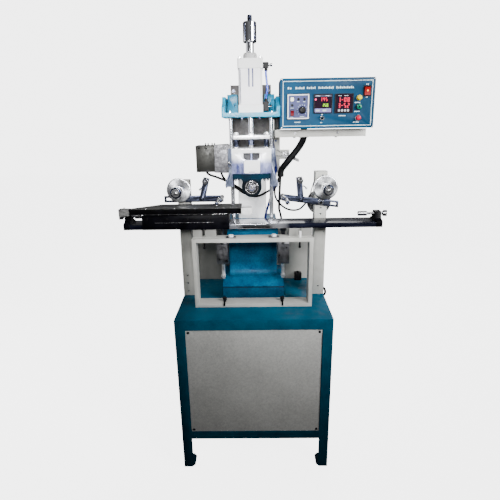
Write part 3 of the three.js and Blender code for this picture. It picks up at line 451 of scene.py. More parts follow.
def table_steel():
    """Black edges, a mottled grey ground top, and end blocks with painted light: the grey left block is
    painted shade, the bright right end a painted highlight.
    """
    made = Finish("table_steel", (0.01, 0.01, 0.01), 0.4, 0.0, 0.8, 0.04)
    edge = made.ramp(made.noise(30, 4), (0.0005, 0.0005, 0.0005), (0.002, 0.002, 0.003))
    mottled = made.noise(10, 7, (1, 3, 1), 0.75)
    ground = made.ramp(mottled, (0.02, 0.02, 0.019), (0.15, 0.15, 0.147), 0.3, 0.75)
    block = made.ramp(made.noise(14, 4), (0.12, 0.12, 0.12), (0.3, 0.3, 0.29))
    bright = made.ramp(made.noise(20, 3), (0.7, 0.7, 0.7), (0.9, 0.9, 0.9))
    facing = made.node("ShaderNodeSeparateXYZ")
    made.link(made.node("ShaderNodeNewGeometry").outputs["Normal"], facing.inputs[0])
    upward = made.remap(facing.outputs["Z"], 0.6, 0.9)
    plate = made.mix(upward, edge, ground)
    # Painted shade on the left block and a painted highlight on the bright right end.
    made.paint(made.bands("X", [-470, -41.5], [block, plate, bright]))
    made.wear(0.3, 0.55, 12)
    return made.bump(made.noise(3, 4), 0.04, 0.3)


HEATED_BELOW = (1.262, 1.284)  # metres; the heat marks fade out between these heights


def head_aluminium():
    """Bright plate with violet heat marks low down, and darker guards at the sides."""
    made = Finish("head_aluminium", (0.9, 0.9, 0.95), 0.3, 0.4, 1.0)
    cloud = made.noise(26, 4, (1, 1, 0.5))
    plate = made.ramp(cloud, (0.72, 0.75, 0.85), (0.97, 0.98, 1.0), 0.3, 0.5)
    heated = made.ramp(cloud, (0.07, 0.085, 0.25), (0.5, 0.54, 0.85), 0.35, 0.7)
    low_down = made.remap(made.along("Z"), *HEATED_BELOW, 1.0, 0.0)
    face = made.mix(low_down, plate, heated)
    guard = made.ramp(cloud, (0.05, 0.065, 0.12), (0.42, 0.48, 0.65), 0.35, 0.7)
    made.paint(made.bands("X", [-73.5, 73.5], [guard, face, guard]))
    made.wear(0.2, 0.42, 10, (1, 1, 0.15))
    return made.bump(made.noise(2, 2, (1, 1, 0.15)), 0.02, 0.35)


def black_steel():
    made = Finish("black_steel", (0.004, 0.004, 0.006), 0.35, 0.0, 0.8, 0.06)
    made.mottle((0.0005, 0.0005, 0.001), (0.003, 0.003, 0.005), 40)
    made.wear(0.22, 0.5, 20, (0.2, 1, 1))
    return made.bump(made.noise(2.5, 3), 0.03, 0.25)


REFLECTION_MIDDLE_AT = 0.015  # metres; the middle of the rail's painted reflection


def rail_chrome():
    """Ground and polished along X, with a painted reflection: bright and metallic in the middle, dark towards
    the ends.
    """
    made = Finish("rail_chrome", (0.6, 0.62, 0.67), 0.14, 1.0, 1.2, 0.08)
    long_noise, broad_noise = made.noise(60, 4, (0.25, 3, 3)), made.noise(190, 2, (1, 0.4, 0.4))
    streak = made.ramp(long_noise, (0.001, 0.0015, 0.006), (0.035, 0.04, 0.07), 0.42, 0.75)
    patch = made.ramp(broad_noise, (0.001, 0.001, 0.004), (0.014, 0.016, 0.032), 0.45, 0.7)
    dark_ends = made.mix(made.remap(made.noise(25, 2, (0.2, 1, 1)), 0.3, 0.7, 0.3, 0.7), streak, patch)
    away = made.math("ABSOLUTE", made.math("SUBTRACT", made.along("X"), REFLECTION_MIDDLE_AT))
    # The bright middle is a painted reflection, fading to the dark ends.
    bright = made.ramp(made.noise(40, 3, (0.3, 1, 1)), (0.7, 0.72, 0.8), (0.95, 0.96, 1.0))
    made.paint(made.mix(made.remap(away, 0.05, 0.13, 0.8, 0.0), dark_ends, bright))
    made.link(made.remap(away, 0.05, 0.16, 1.0, 0.05), made.shader.inputs["Metallic"])
    made.wear(0.08, 0.26, 30, (0.1, 1, 1))
    return made.bump(made.noise(1.5, 2, (0.05, 1, 1)), 0.01, 0.3)


def spun_metal(name, low, high, roughness):
    """Bright turned metal: its highlights stretch across rings about the Y axis."""
    made = Finish(name, high, roughness, 1.0, 0.4)
    made.mottle(low, high, 40, 0.3, 0.7, 3)
    made.wear(roughness * 0.8, roughness * 1.25, 12)
    made.set("Anisotropic", 0.8)
    around_y = made.node("ShaderNodeTangent")
    around_y.direction_type = "RADIAL"
    around_y.axis = "Y"
    made.link(around_y.outputs[0], made.shader.inputs["Tangent"])
    return made


def silicone():
    made = Finish("silicone", (0.02, 0.025, 0.04), 0.5, 0.0, 0.8)
    made.mottle((0.006, 0.008, 0.016), (0.018, 0.022, 0.04), 30)
    return made.bump(made.noise(1.2, 2), 0.03, 0.3)


def rubber(name, color, roughness=0.6):
    made = Finish(name, color, roughness, 0.0, 0.4, 0.15)
    made.mottle(scaled(color, 0.5), color, 15)
    return made.bump(made.noise(0.9, 3), 0.05, 0.35)


ALONG_Z = (1, 1, 0.1)
LOOK = {
    "cabinet": cabinet_paint(),
    "casting": teal_casting(),
    "bracket": bracket_paint(),
    "cream": cream("cream_paint_satin"),
    "cream_frame": frame_paint(),
    "cream_sheet": sheet_paint(),
    # A darker copy of the cream for the left post: painted shade.
    "cream_shaded": cream("cream_paint_shaded", (0.24, 0.24, 0.22), (0.34, 0.34, 0.32)),
    # The column's paint glows: painted light that makes the column look brightly lit.
    "column_white_painted_glow": painted("column_white_painted_glow", (0.9, 0.9, 0.9), (0.98, 0.98, 0.98)).glow((1, 1, 1), 0.45),
    "white": painted("white_paint_satin", (0.88, 0.88, 0.88), (0.97, 0.97, 0.97)),
    "speckle": speckled_panel(),
    "panel_blue": panel_paint(),
    "slate": painted("slate_blue", (0.03, 0.036, 0.11), (0.05, 0.06, 0.17), 0.4, 0.5),
    "print": painted("pale_print", (0.55, 0.75, 0.82), (0.8, 0.92, 0.95), 0.5, 0.2),
    "lilac": painted("lilac_strip", (0.13, 0.12, 0.3), (0.2, 0.19, 0.42), 0.4, 0.2),
    "lilac_dark": painted("lilac_dark", (0.03, 0.03, 0.06), (0.07, 0.065, 0.12), 0.4, 0.2),
    "bright_barrel": painted("barrel_anodised", (0.8, 0.8, 0.83), (0.93, 0.93, 0.95), 0.3, 0.8),
    "cap_grey": painted("cap_grey", (0.42, 0.42, 0.42), (0.6, 0.6, 0.6), 0.35, 0.8),
    "slot_navy": painted("slot_navy", (0.03, 0.03, 0.12), (0.07, 0.07, 0.2), 0.5, 0.2),
    "slot_lilac": painted("slot_lilac", (0.4, 0.4, 0.6), (0.6, 0.6, 0.75), 0.5, 0.2),
    "pad_white": painted("pad_white", (0.85, 0.85, 0.86), (0.97, 0.97, 0.98), 0.35, 0.6),
    "navy": navy_casting(),
    "chrome": metal("polished_chrome", (0.62, 0.64, 0.7), (0.92, 0.93, 0.96), 0.07, 4, 0.5, 0.005, ALONG_Z),
    "rod": metal("ground_rod", (0.6, 0.63, 0.72), (0.92, 0.94, 0.98), 0.14, 5, 0.4, 0.006, ALONG_Z, 0.85),
    "rail": rail_chrome(),
    "steel": metal("turned_steel", (0.36, 0.36, 0.38), (0.72, 0.72, 0.74), 0.25, 3, 0.4, 0.02),
    "zinc": metal("zinc_fixing", (0.5, 0.5, 0.52), (0.86, 0.86, 0.88), 0.2, 3, 0.3, 0.01),
    "reel": spun_metal("spun_aluminium", (0.74, 0.76, 0.8), (0.94, 0.95, 0.98), 0.3),
    "bright": head_aluminium(),
    "grey": metal("mottled_grey_steel", (0.1, 0.1, 0.105), (0.34, 0.34, 0.35), 0.42, 6, 1.2, 0.15),
    "motor": metal("motor_grey", (0.08, 0.08, 0.085), (0.17, 0.17, 0.18), 0.45, 8, 0.8, 0.05),
    "motor_dark": metal("heater_grey", (0.03, 0.03, 0.033), (0.08, 0.08, 0.085), 0.5, 8, 0.8, 0.05),
    "black_steel": black_steel(),
    "table": table_steel(),
    "blued": metal("blued_steel", (0.014, 0.017, 0.035), (0.12, 0.135, 0.2), 0.36, 5, 0.7, 0.04, (0.4, 1, 1)),
    "ring_blue": metal("dark_collar", (0.006, 0.012, 0.045), (0.02, 0.035, 0.1), 0.22, 5, 0.5, 0.02),
    "thread_dark": metal("dark_thread", (0.02, 0.025, 0.05), (0.09, 0.1, 0.15), 0.3, 3, 0.2, 0.02),
    "mirror_violet": metal("tempered_mirror", (0.12, 0.14, 0.34), (0.5, 0.56, 0.88), 0.3, 5, 0.5, 0.03,
                           (1, 1, 0.5), 0.5),
    "junction": junction_metal(),
    "clamp": clamp_steel(),
    "silicone": silicone(),
    "black": plastic("black_moulding", (0.002, 0.002, 0.003), 0.45),
    "screw_black": plastic("black_screw", (0.01, 0.01, 0.01), 0.3, 0.6),
    "rubber": rubber("belt_black", (0.006, 0.006, 0.006)),
    "sheath": rubber("cable_sheath_black", (0.003, 0.003, 0.004), 0.5),
    "air_blue": plastic("air_tube_blue", (0.004, 0.05, 0.55), 0.2).coat(0.6),
    "air_navy": plastic("air_tube_navy", (0.001, 0.004, 0.075), 0.3).coat(0.3),
    "yellow": plastic("yellow_cap", (0.8, 0.6, 0.0), 0.6),
    "green": plastic("green_cap", (0.0, 0.2, 0.11), 0.25).coat(0.2),
    "red": plastic("red_cap", (0.45, 0.0, 0.03), 0.3),
    "dark_red": plastic("dark_red_cap", (0.14, 0.0, 0.008), 0.35),
    "window": plastic("display_window", (0.012, 0.004, 0.012), 0.12).coat(0.8),
    "lit_red": lit("lit_red", (0.6, 0.0, 0.0), 0.12),
    "hot_spot": lit("hot_spot", (1.0, 0.3, 0.02), 6.0),
    "digit_red": lit("digit_red", (1.0, 0.0, 0.06), 1.5),
    "digit_green": lit("digit_green", (0.42, 1.0, 0.0), 1.5),
    "led_pink": lit("led_pink", (1.0, 0.05, 0.2), 3.0),
    "led_white": lit("led_white", (0.95, 1.0, 0.75), 3.0),
    "keys": lit("lit_keys", (0.8, 0.85, 0.9), 0.5),
}


# ---------------------------------------------------------------- CAD nodes with better looks
SHARP = math.radians(32)  # CAD edges steeper than this stay sharp
WELD_WITHIN = 0.00001  # metres
FLAT_WITHIN = math.radians(0.5)


def smoothing_group():
    """Drops a CAD mesh's stored normals and shades it smooth, except at edges steeper than SHARP."""
    tree = bpy.data.node_groups.new("smooth_by_angle", "GeometryNodeTree")
    for way in ("INPUT", "OUTPUT"):
        tree.interface.new_socket("Geometry", in_out=way, socket_type="NodeSocketGeometry")
    link = tree.links.new
    bare = add_node(tree, "GeometryNodeRemoveAttribute", Name="custom_normal")
    link(add_node(tree, "NodeGroupInput").outputs[0], bare.inputs["Geometry"])
    faces = add_node(tree, "GeometryNodeSetShadeSmooth", Shade_Smooth=True)
    faces.domain = "FACE"
    link(bare.outputs["Geometry"], faces.inputs["Geometry"])
    edges = add_node(tree, "GeometryNodeSetShadeSmooth", Shade_Smooth=False)
    edges.domain = "EDGE"
    link(faces.outputs["Geometry"], edges.inputs["Geometry"])
    steep = add_node(tree, "FunctionNodeCompare")
    steep.data_type = "FLOAT"
    steep.operation = "GREATER_THAN"
    steep.inputs["B"].default_value = SHARP
    angle = add_node(tree, "GeometryNodeInputMeshEdgeAngle")
    link(angle.outputs["Unsigned Angle"], steep.inputs["A"])
    link(steep.outputs["Result"], edges.inputs["Selection"])
    link(edges.outputs["Geometry"], add_node(tree, "NodeGroupOutput").inputs[0])
    return tree


SMOOTHING = smoothing_group()


def add_bevel(target, width, angle):
    """A small real bevel on the edges steeper than an angle."""
    edge = target.modifiers.new("edge", "BEVEL")
    edge.width = width * MM
    edge.segments = 2
    edge.limit_method = "ANGLE"
    edge.angle_limit = angle
    return edge


def dress(node, look, bevel):
    """Gives a CAD node its finish, welded and smooth, with small real bevels."""
    part = NODES[node]
    for slot in part.material_slots:
        slot.link = "OBJECT"
        slot.material = LOOK[look].material
    weld = part.modifiers.new("weld", "WELD")
    weld.merge_threshold = WELD_WITHIN
    if bevel:
        flat = part.modifiers.new("flat", "DECIMATE")
        flat.decimate_type = "DISSOLVE"
        flat.angle_limit = FLAT_WITHIN
        add_bevel(part, bevel, SHARP)
    smooth = part.modifiers.new("smooth", "NODES")
    smooth.node_group = SMOOTHING


DRESSED = {  # node: look and bevel
    "cabinet_frame": ("cabinet", 0.8),
    "rear_cover": ("cabinet", 0),
    "front_panel": ("speckle", 0.4),
    "bed_casting": ("casting", 3.0),
    "box_frame": ("cream_frame", 1.2),
    "back_sheet": ("cream_sheet", 0.5),
    # The left post takes the darker cream as painted shade.
    "left_post": ("cream_shaded", 0.8),
    "right_post": ("cream", 0.8),
    "press_column": ("column_white_painted_glow", 1.0),
    "panel_stand": ("cream", 0.6),
    "cylinder_bracket": ("bracket", 1.2),
    "slide_rail": ("rail", 0.6),
    "table_saddle": ("black_steel", 0.8),
    "table_plate": ("table", 0.8),
    "cross_plate": ("bright", 1.0),
    "head_block": ("bright", 0.5),
    "junction_box": ("junction", 1.0),
    "panel_box": ("panel_blue", 0.8),
    "panel_face": ("panel_blue", 0.4),
    "rewind_belt": ("rubber", 0),
    "switch_box": ("black", 0.8),
}
for side_name in SIDES:
    DRESSED[f"{side_name}_rail_bracket"] = ("black_steel", 1.0)
    DRESSED[f"{side_name}_bed_clamp"] = ("clamp", 0.6)
    DRESSED[f"{side_name}_foil_arm"] = ("blued", 0.5)
    DRESSED[f"{side_name}_upright_arm"] = ("blued", 0.5)
for cad_node, (look_name, bevel_width) in DRESSED.items():
    dress(cad_node, look_name, bevel_width)


# ---------------------------------------------------------------- building finer pieces
CREASE = math.radians(35)  # steeper edges are shaded sharp
BEVEL_ABOVE = math.radians(40)  # steeper edges are bevelled
SMALLEST = 1e-4  # a vector shorter than this has no direction


def around(centre, radius, count, start=0.0):
    """Evenly spaced points on a circle, the first at an angle of start degrees."""
    angles = [math.radians(start + 360 * k / count) for k in range(count)]
    return [(centre[0] + radius * math.cos(a), centre[1] + radius * math.sin(a)) for a in angles]


class Piece:
    """One visible object.  Shapes are added in millimetres in the machine's frame."""

    def __init__(self, name):
        self.name = name
        self.mesh = bmesh.new()
        self.looks = []

    def faces(self, points, faces, look):
        """Adds raw points (mm) and faces."""
        if look not in self.looks:
            self.looks.append(look)
        made = [self.mesh.verts.new(Vector(point) * MM) for point in points]
        for face in faces:
            self.mesh.faces.new([made[i] for i in face]).material_index = self.looks.index(look)
        return self

    def block(self, x, y, z, look):
        points = [(a, b, c) for a in x for b in y for c in z]
        sides = [(0, 1, 3, 2), (4, 6, 7, 5), (0, 4, 5, 1), (2, 3, 7, 6), (0, 2, 6, 4), (1, 5, 7, 3)]
        return self.faces(points, sides, look)

    def revolved(self, steps, axis, centre, look, facets, closed):
        """Turns [radius, position] steps about an axis; centre is in the plane across it."""
        points, faces = [], []
        count = len(steps)
        for k in range(facets):
            angle = 2 * math.pi * k / facets
            for radius, along in steps:
                across = (centre[0] + radius * math.cos(angle), centre[1] + radius * math.sin(angle))
                points.append(self.to_axes(axis, across, along))
            start, following = k * count, (k + 1) % facets * count
            for i in range(count if closed else count - 1):
                j = (i + 1) % count
                faces.append((start + i, following + i, following + j, start + j))
        if not closed:
            for i in (0, count - 1):
                faces.append([k * count + i for k in range(facets)])
        return self.faces(points, faces, look)

    def turned(self, steps, axis, centre, look, facets=40):
        """A solid turned shape, closed by a flat face at each end."""
        return self.revolved(steps, axis, centre, look, facets, False)

    def hollow(self, loop, axis, centre, look, facets=40):
        """A turned shape with a hole through it, from a closed loop of steps."""
        return self.revolved(loop, axis, centre, look, facets, True)

    def pin(self, radius, span, axis, centre, look, facets=40):
        """A plain round bar."""
        return self.turned([(radius, along) for along in span], axis, centre, look, facets)

    @staticmethod
    def to_axes(axis, across, along):
        a, b = across
        return {"x": (along, a, b), "y": (a, along, b), "z": (a, b, along)}[axis]

    def ring(self, outer, inner, axis, centre, span, look, facets=40):
        """A flat ring with square edges."""
        near, far = span
        loop = [(inner, near), (outer, near), (outer, far), (inner, far)]
        return self.hollow(loop, axis, centre, look, facets)

    def prism(self, outline, axis, span, look):
        """Pushes a flat outline along an axis."""
        count = len(outline)
        points = [self.to_axes(axis, across, along) for along in span for across in outline]
        faces = [tuple(range(count)), tuple(range(2 * count - 1, count - 1, -1))]
        for i in range(count):
            j = (i + 1) % count
            faces.append((i, j, count + j, count + i))
        return self.faces(points, faces, look)

    def hexagon(self, flats, axis, centre, span, look):
        corners = around(centre, flats / math.sqrt(3), 6)
        return self.prism(corners, axis, span, look)

    def dome(self, radius, height, axis, centre, base, look, way=-1, facets=24):
        """A shallow dome that rises from base along the axis, towards way."""
        arc = [
            (radius * math.cos(math.pi / 2 * k / 5), base + way * height * math.sin(math.pi / 2 * k / 5))
            for k in range(5)
        ]
        arc.append((0.05 * radius, base + way * height))
        return self.turned(arc, axis, centre, look, facets)

    def tube(self, route, radius, look, sides=14, step=4.0, ripple=0.0, pitch=5.0):
        """A round tube along a smooth route; ripple makes it ribbed."""
        line = smooth_route(route, step)
        points, faces = [], []
        across = Vector((0, 0, 1))
        travelled = 0.0
        for i, point in enumerate(line):
            ahead = line[min(i + 1, len(line) - 1)] - line[max(i - 1, 0)]
            ahead.normalize()
            across = across - across.dot(ahead) * ahead
            if across.length < SMALLEST:
                across = ahead.orthogonal()
            across.normalize()
            other = ahead.cross(across)
            if i:
                travelled += (point - line[i - 1]).length
            here = radius - ripple * (0.5 + 0.5 * math.cos(2 * math.pi * travelled / pitch))
            for k in range(sides):
                angle = 2 * math.pi * k / sides
                points.append(point + here * (math.cos(angle) * across + math.sin(angle) * other))
        for i in range(len(line) - 1):
            for k in range(sides):
                j = (k + 1) % sides
                a, b = i * sides, (i + 1) * sides
                faces.append((a + k, a + j, b + j, b + k))
        faces.append(list(range(sides)))
        faces.append([(len(line) - 1) * sides + k for k in range(sides)])
        return self.faces(points, faces, look)

    def done(self, body, slot=None, replaces=(), bevel=0.0):
        """Makes the object, shades it, rides it on its body and hides the CAD nodes it stands for."""
        bmesh.ops.recalc_face_normals(self.mesh, faces=self.mesh.faces)
        data = bpy.data.meshes.new(self.name)
        self.mesh.to_mesh(data)
        self.mesh.free()
        for look in self.looks:
            data.materials.append(LOOK[look].material)
        data.shade_smooth()
        data.set_sharp_from_angle(angle=CREASE)
        made = bpy.data.objects.new(self.name, data)
        bpy.context.scene.collection.objects.link(made)
        if bevel:
            add_bevel(made, bevel, BEVEL_ABOVE).harden_normals = True
        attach(made, body)
        if replaces:
            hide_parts(*replaces)

    def stands_for(self, node, bevel=0.0):
        """Makes the object in place of a CAD node."""
        self.done(BODY_OF[node], SLOT_OF[node], [node], bevel)


def blend(a, b, start, end, t):
    """The point at t on the line that is at a for start and at b for end."""
    return a * ((end - t) / (end - start)) + b * ((t - start) / (end - start))


def smooth_route(route, step):
    """Points about step apart on a centripetal curve through the route."""
    points = [Vector(p) for p in route]
    first = points[0] * 2 - points[1]
    last = points[-1] * 2 - points[-2]
    held = [first, *points, last]
    line = []
    for i in range(1, len(held) - 2):
        p0, p1, p2, p3 = held[i - 1:i + 3]
        t0 = 0.0
        t1 = t0 + (p1 - p0).length ** 0.5
        t2 = t1 + (p2 - p1).length ** 0.5
        t3 = t2 + (p3 - p2).length ** 0.5
        count = max(2, round((p2 - p1).length / step))
        for k in range(count):
            t = t1 + (t2 - t1) * k / count
            a1 = blend(p0, p1, t0, t1, t)
            a2 = blend(p1, p2, t1, t2, t)
            a3 = blend(p2, p3, t2, t3, t)
            b1 = blend(a1, a2, t0, t2, t)
            b2 = blend(a2, a3, t1, t3, t)
            line.append(blend(b1, b2, t1, t2, t))
    line.append(points[-1])
    return line


def span_of(node):
    """Low and high corner of a CAD node, in millimetres."""
    low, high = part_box(node)
    return low / MM, high / MM


def centre_of(node, axis):
    """The middle of a CAD node in the plane across an axis."""
    low, high = span_of(node)
    a, b = {"x": (1, 2), "y": (0, 2), "z": (0, 1)}[axis]
    return (low[a] + high[a]) / 2, (low[b] + high[b]) / 2


def inset(span, by):
    """A range made smaller by the same amount at both ends."""
    return span[0] + by, span[1] - by


def border(piece, outer, inner, y, look):
    """Four bars between two rectangles, each an (x range, z range)."""
    (x0, x1), (z0, z1) = outer
    (x2, x3), (z2, z3) = inner
    bars = (((x0, x1), (z0, z2)), ((x0, x1), (z3, z1)), ((x0, x2), (z2, z3)), ((x3, x1), (z2, z3)))
    for x, z in bars:
        piece.block(x, y, z, look)


# ---------------------------------------------------------------- cables and air lines
LOOM_NODE = (125, 92, 1222)
CONDUIT = [
    (205, 8, 1383.9), (205, 8, 1372), (205, 14, 1348), (192, 40, 1315), (168, 56, 1281),
    (147, 66, 1254), (133, 82, 1234), LOOM_NODE, (121, 93, 1206), (120, 93, 1190),
]
BOX_CABLES = [
    [(-188, 82, 1218.5), (-188, 82, 1213), (-178, 78, 1205), (-150, 68, 1196), (-109, 62, 1180),
     (-70, 60, 1160), (-35, 60, 1136), (0, 60, 1117)],
    [(-128, 82, 1213.6), (-127.4, 82, 1207), (-116, 72, 1188), (-92, 62, 1164), (-62, 61, 1146),
     (-30, 60, 1126), (0, 60, 1115), (26, 66, 1114), (54, 74, 1125), (78, 76, 1140),
     (104, 82, 1168), (119, 91, 1200), LOOM_NODE],
]
MOTOR_CABLE = [
    LOOM_NODE, (120, 90, 1190), (108, 78, 1168), (95, 68, 1139), (98, 66, 1109), (117, 70, 1079),
    (147, 80, 1055), (181, 92, 1046), (206, 98, 1051), (224, 100, 1068), (232.3, 100, 1077.6),
]
DROP_CABLE = [
    (120, 93, 1195), (118, 94, 1150), (116, 96, 1100), (116, 112, 1060), (120, 168, 1034),
    (128, 212, 1006), (136, 221, 965), (146, 222, 860), (160, 222, 780), (184, 221, 722),
    (226, 221, 700), (262, 218, 697), (284, 192, 697), (292, 130, 697),
    (304, 80, 699), (319, 66, 690), (322, 60, 676), (317, 60, 664), (311, 60, 662), (305.3, 60, 662),
]
POST_CABLE = [
    (304, 92, 1031.6), (305, 92, 1024), (313, 90, 1004), (315, 88, 980), (313, 88, 880),
    (309, 90, 780), (303, 90, 715), (304, 80, 699),
]
SUPPLY_TUBE = [
    (80, 58, 1426.7), (80, 58, 1410), (82, 58, 1370), (88, 58, 1320), (96, 58, 1260),
    (98, 59, 1210), (92, 59, 1165), (82, 60, 1125), (69, 61, 1080), (59, 62, 1046), (55, 62, 1026),
    (55, 62, 1011),
]
VALVE_TUBE = [
    (57, -45, 1590), (57, -45, 1578), (58.5, -46, 1560), (61, -47, 1540),
    (61, -47, 1520), (58.5, -46, 1504), (57, -45, 1497), (57, -45, 1490),
]


def make_cables():
    loom = Piece("wiring_loom_cables")
    loom.tube(CONDUIT, 13.5, "sheath", 20, 1.2, 1.1, 5.0)
    for cable in BOX_CABLES:
        loom.tube(cable, 4.8, "sheath")
    loom.tube(MOTOR_CABLE, 4, "sheath")
    loom.tube(DROP_CABLE, 5, "sheath")
    loom.tube(POST_CABLE, 5, "sheath")
    loom.stands_for("wiring_loom")
    supply = Piece("supply_air_hose")
    supply.tube(SUPPLY_TUBE, 5, "air_navy", 18)
    supply.stands_for("supply_air_tube")
    ties = Piece("loom_ties")
    for height in (1199, 1194):
        ties.ring(14.6, 13.2, "z", (120.5, 93), (height, height + 3), "black", 24)
    ties.done("machine", "black_plastic")


def make_air_line():
    line = Piece("cylinder_air_hose")
    line.tube(VALVE_TUBE, 4, "air_blue", 16)
    line.stands_for("cylinder_air_line")
    fittings = Piece("flow_valves")
    for z0, z1, screw_z, screw_r in ((1597, 1616, 1607, 5.5), (1450, 1482, 1465, 6.5)):
        fittings.block((45.3, 66), (-54, -36), (z0, z1), "black")
        fittings.pin(3.5, (65.5, 73), "x", (-45, screw_z), "zinc", 20)
        knurl = [(screw_r - 0.8, 72), (screw_r, 73), (screw_r, 78.5), (screw_r - 1, 80)]
        fittings.turned(knurl, "x", (-45, screw_z), "zinc", 18)
        fittings.ring(5.2, 3.6, "x", (-45, screw_z), (65.8, 68), "zinc", 20)
    for near, far in ((1588, 1597.5), (1481.5, 1492)):
        fittings.pin(6, (near, far), "z", (57, -45), "black", 20)
        fittings.ring(5.0, 4.1, "z", (57, -45), (near - 1.5, far + 1.5), "air_navy", 20)
    fittings.done("machine", "black_plastic", bevel=0.6)


# ---------------------------------------------------------------- cylinder and its rod
PRESS_AXIS = (0, -45)  # x and y


def make_cylinder():
    low, high = span_of("cylinder_body")
    x, y = (low.x, high.x), (low.y, high.y)
    cap_low, cap_high = (low.z, low.z + 27.5), (high.z - 55, high.z - 22)
    top = cap_high[1]
    body = Piece("air_cylinder")
    for z in (cap_low, cap_high):
        body.prism(cut_corners(x, y, 3), "z", z, "white")
    barrel_x, barrel_y = inset(x, 2.5), inset(y, 2.5)
    body.prism(cut_corners(barrel_x, barrel_y, 8), "z", (cap_low[1], cap_high[0]), "bright_barrel")
    boss = [(25, top - 1), (25, top + 14), (23.5, top + 18), (21, top + 21.8)]
    body.turned(boss, "z", PRESS_AXIS, "cap_grey", 48)
    body.stands_for("cylinder_body", 1.0)
    trim = Piece("cylinder_trim")
    front = barrel_y[0]
    for slot_x in ((-7.5, -2.5), (6, 11)):
        trim.prism(rounded_slot(slot_x, (1530, 1592)), "y", (front - 0.25, front + 1), "slot_navy")
    trim.prism(rounded_slot((-36, -34.5), (1478, 1588)), "y", (front - 0.2, front + 1), "slot_navy")
    for bolt_x in (-36, 36):
        for bolt_y in inset(y, 9):
            trim.hexagon(10, "z", (bolt_x, bolt_y), (top - 0.5, top + 5), "zinc")
            trim.pin(3, (top + 4, top + 7.5), "z", (bolt_x, bolt_y), "zinc", 16)
    trim.done("machine", "bright_aluminium", bevel=0.3)


def cut_corners(x, y, size):
    """A rectangle with its corners cut at 45 degrees."""
    (x0, x1), (y0, y1) = x, y
    return [
        (x0 + size, y0), (x1 - size, y0), (x1, y0 + size), (x1, y1 - size),
        (x1 - size, y1), (x0 + size, y1), (x0, y1 - size), (x0, y0 + size),
    ]


def rounded_rect(x, z, radius, steps=4):
    """A rectangle with round corners, as (x, z) points."""
    (x0, x1), (z0, z1) = inset(x, radius), inset(z, radius)
    corners = [(x1, z0, -90), (x1, z1, 0), (x0, z1, 90), (x0, z0, 180)]
    outline = []
    for cx, cz, start in corners:
        for k in range(steps + 1):
            angle = math.radians(start + 90 * k / steps)
            outline.append((cx + radius * math.cos(angle), cz + radius * math.sin(angle)))
    return outline


def rounded_slot(x, z):
    return rounded_rect(x, z, min(x[1] - x[0], z[1] - z[0]) / 2.001)  # just short of a half circle


def make_rod():
    low, high = span_of("piston_rod")
    rod = Piece("cylinder_rod")
    centre = PRESS_AXIS
    rod.pin(7.7, (low.z, 1328), "z", centre, "rod", 32)
    rod.hexagon(20.8, "z", centre, (1328, 1349.6), "thread_dark")
    rod.pin(7.7, (1349, 1365), "z", centre, "rod", 32)
    rod.pin(10, (1363.9, 1560), "z", centre, "rod", 48)
    rod.pin(39.5, (1556, 1584), "z", centre, "black", 48)
    rod.turned([(14.5, 1584), (14.5, 1679.5), (13.5, 1680.7)], "z", centre, "chrome", 48)
    thread = [(12, 1680), (12, 1747)]
    for k in range(10):
        thread.append((11.4 if k % 2 else 12, 1747 + k * 0.3))
    rod.turned(thread, "z", centre, "steel", 40)
    tip = []
    pitch = 1.5
    for k in range(11):
        tip.append((9.0, high.z - 19 + k * pitch))
        tip.append((8.3, high.z - 19 + (k + 0.5) * pitch))
    tip.append((8.3, high.z - 1.6))
    tip.append((6.8, high.z))
    rod.turned(tip, "z", centre, "thread_dark", 32)
    rod.stands_for("piston_rod", 0.3)


def make_stroke_nut():
    low, high = span_of("stroke_nut")
    nut = Piece("stroke_collar")
    outer = [(22, low.z), (24.4, low.z + 2.5), (24.4, high.z - 2.5), (22, high.z)]
    inner = [(12.3, high.z), (12.3, low.z)]
    nut.hollow(outer + inner, "z", PRESS_AXIS, "chrome", 48)
    for x, y in around(PRESS_AXIS, 24.2, 4, 45):
        nut.block((x - 1.6, x + 1.6), (y - 1.6, y + 1.6), (low.z + 6, high.z - 6), "thread_dark")
    nut.stands_for("stroke_nut", 0.4)


def make_guide_rods():
    for name in SIDES:
        node = f"{name}_guide_rod"
        low, high = span_of(node)
        centre = centre_of(node, "z")
        rod = Piece(f"{name}_guide_bar")
        foot = [(13, low.z), (13, low.z + 12), (12, low.z + 13.5), (8.2, low.z + 13.5)]
        rod.turned(foot, "z", centre, "steel", 32)
        rod.pin(8, (low.z + 13, high.z - 8), "z", centre, "rod", 32)
        rod.pin(9.8, (high.z - 8, high.z), "z", centre, "rod", 32)
        rod.stands_for(node, 0.4)


# ---------------------------------------------------------------- press head
ROLLER_Z = 1176
SHOULDER_Z = 1208  # underside of the bearings' flange


def make_head_details():
    front = span_of("head_block")[0].y + 5
    face = Piece("head_face_plates")
    pad = rounded_rect((-27.5, 31.5), (1229, 1274), 3)
    face.prism(pad, "y", (front - 5.6, front - 4.9), "pad_white")
    face.prism(rounded_slot((-10, 12), (1231.5, 1233.5)), "y", (front - 5.8, front - 5.4), "slot_navy")
    face.prism(rounded_rect((-71, 71), (1303, 1315), 1.5), "y", (front - 0.5, front + 0.2), "pad_white")
    face.block((37, 38.6), (front - 0.6, front + 0.2), (1276, 1301), "slot_lilac")
    face.done("press_head", "bright_aluminium", bevel=0.2)
    core = Piece("heater_core")
    core.block((-46, -3.5), (-88, 0), (1241.5, 1299), "motor_dark")
    core.block((3.5, 46), (-88, 0), (1241.5, 1299), "motor_dark")
    core.block((-3, 3), (-92, -2), (1241.5, 1300), "mirror_violet")
    core.done("press_head", "grey_steel", bevel=1.5)
    for name, s in SIDES.items():
        nuts = Piece(f"{name}_bearing_nuts")
        for x in (s * 48, s * 60):
            nuts.hexagon(9, "z", (x, -114), (1202, 1210), "zinc")
            nuts.pin(2.8, (1199, 1203), "z", (x, -114), "zinc", 14)
        nuts.done("press_head", "machined_steel", bevel=0.4)
    lever = Piece("left_guard_latch")
    lever.tube([(-74, -100, 1252), (-81, -101, 1262), (-86, -101, 1268)], 2.6, "zinc", 12, 2)
    lever.done("press_head", "machined_steel")


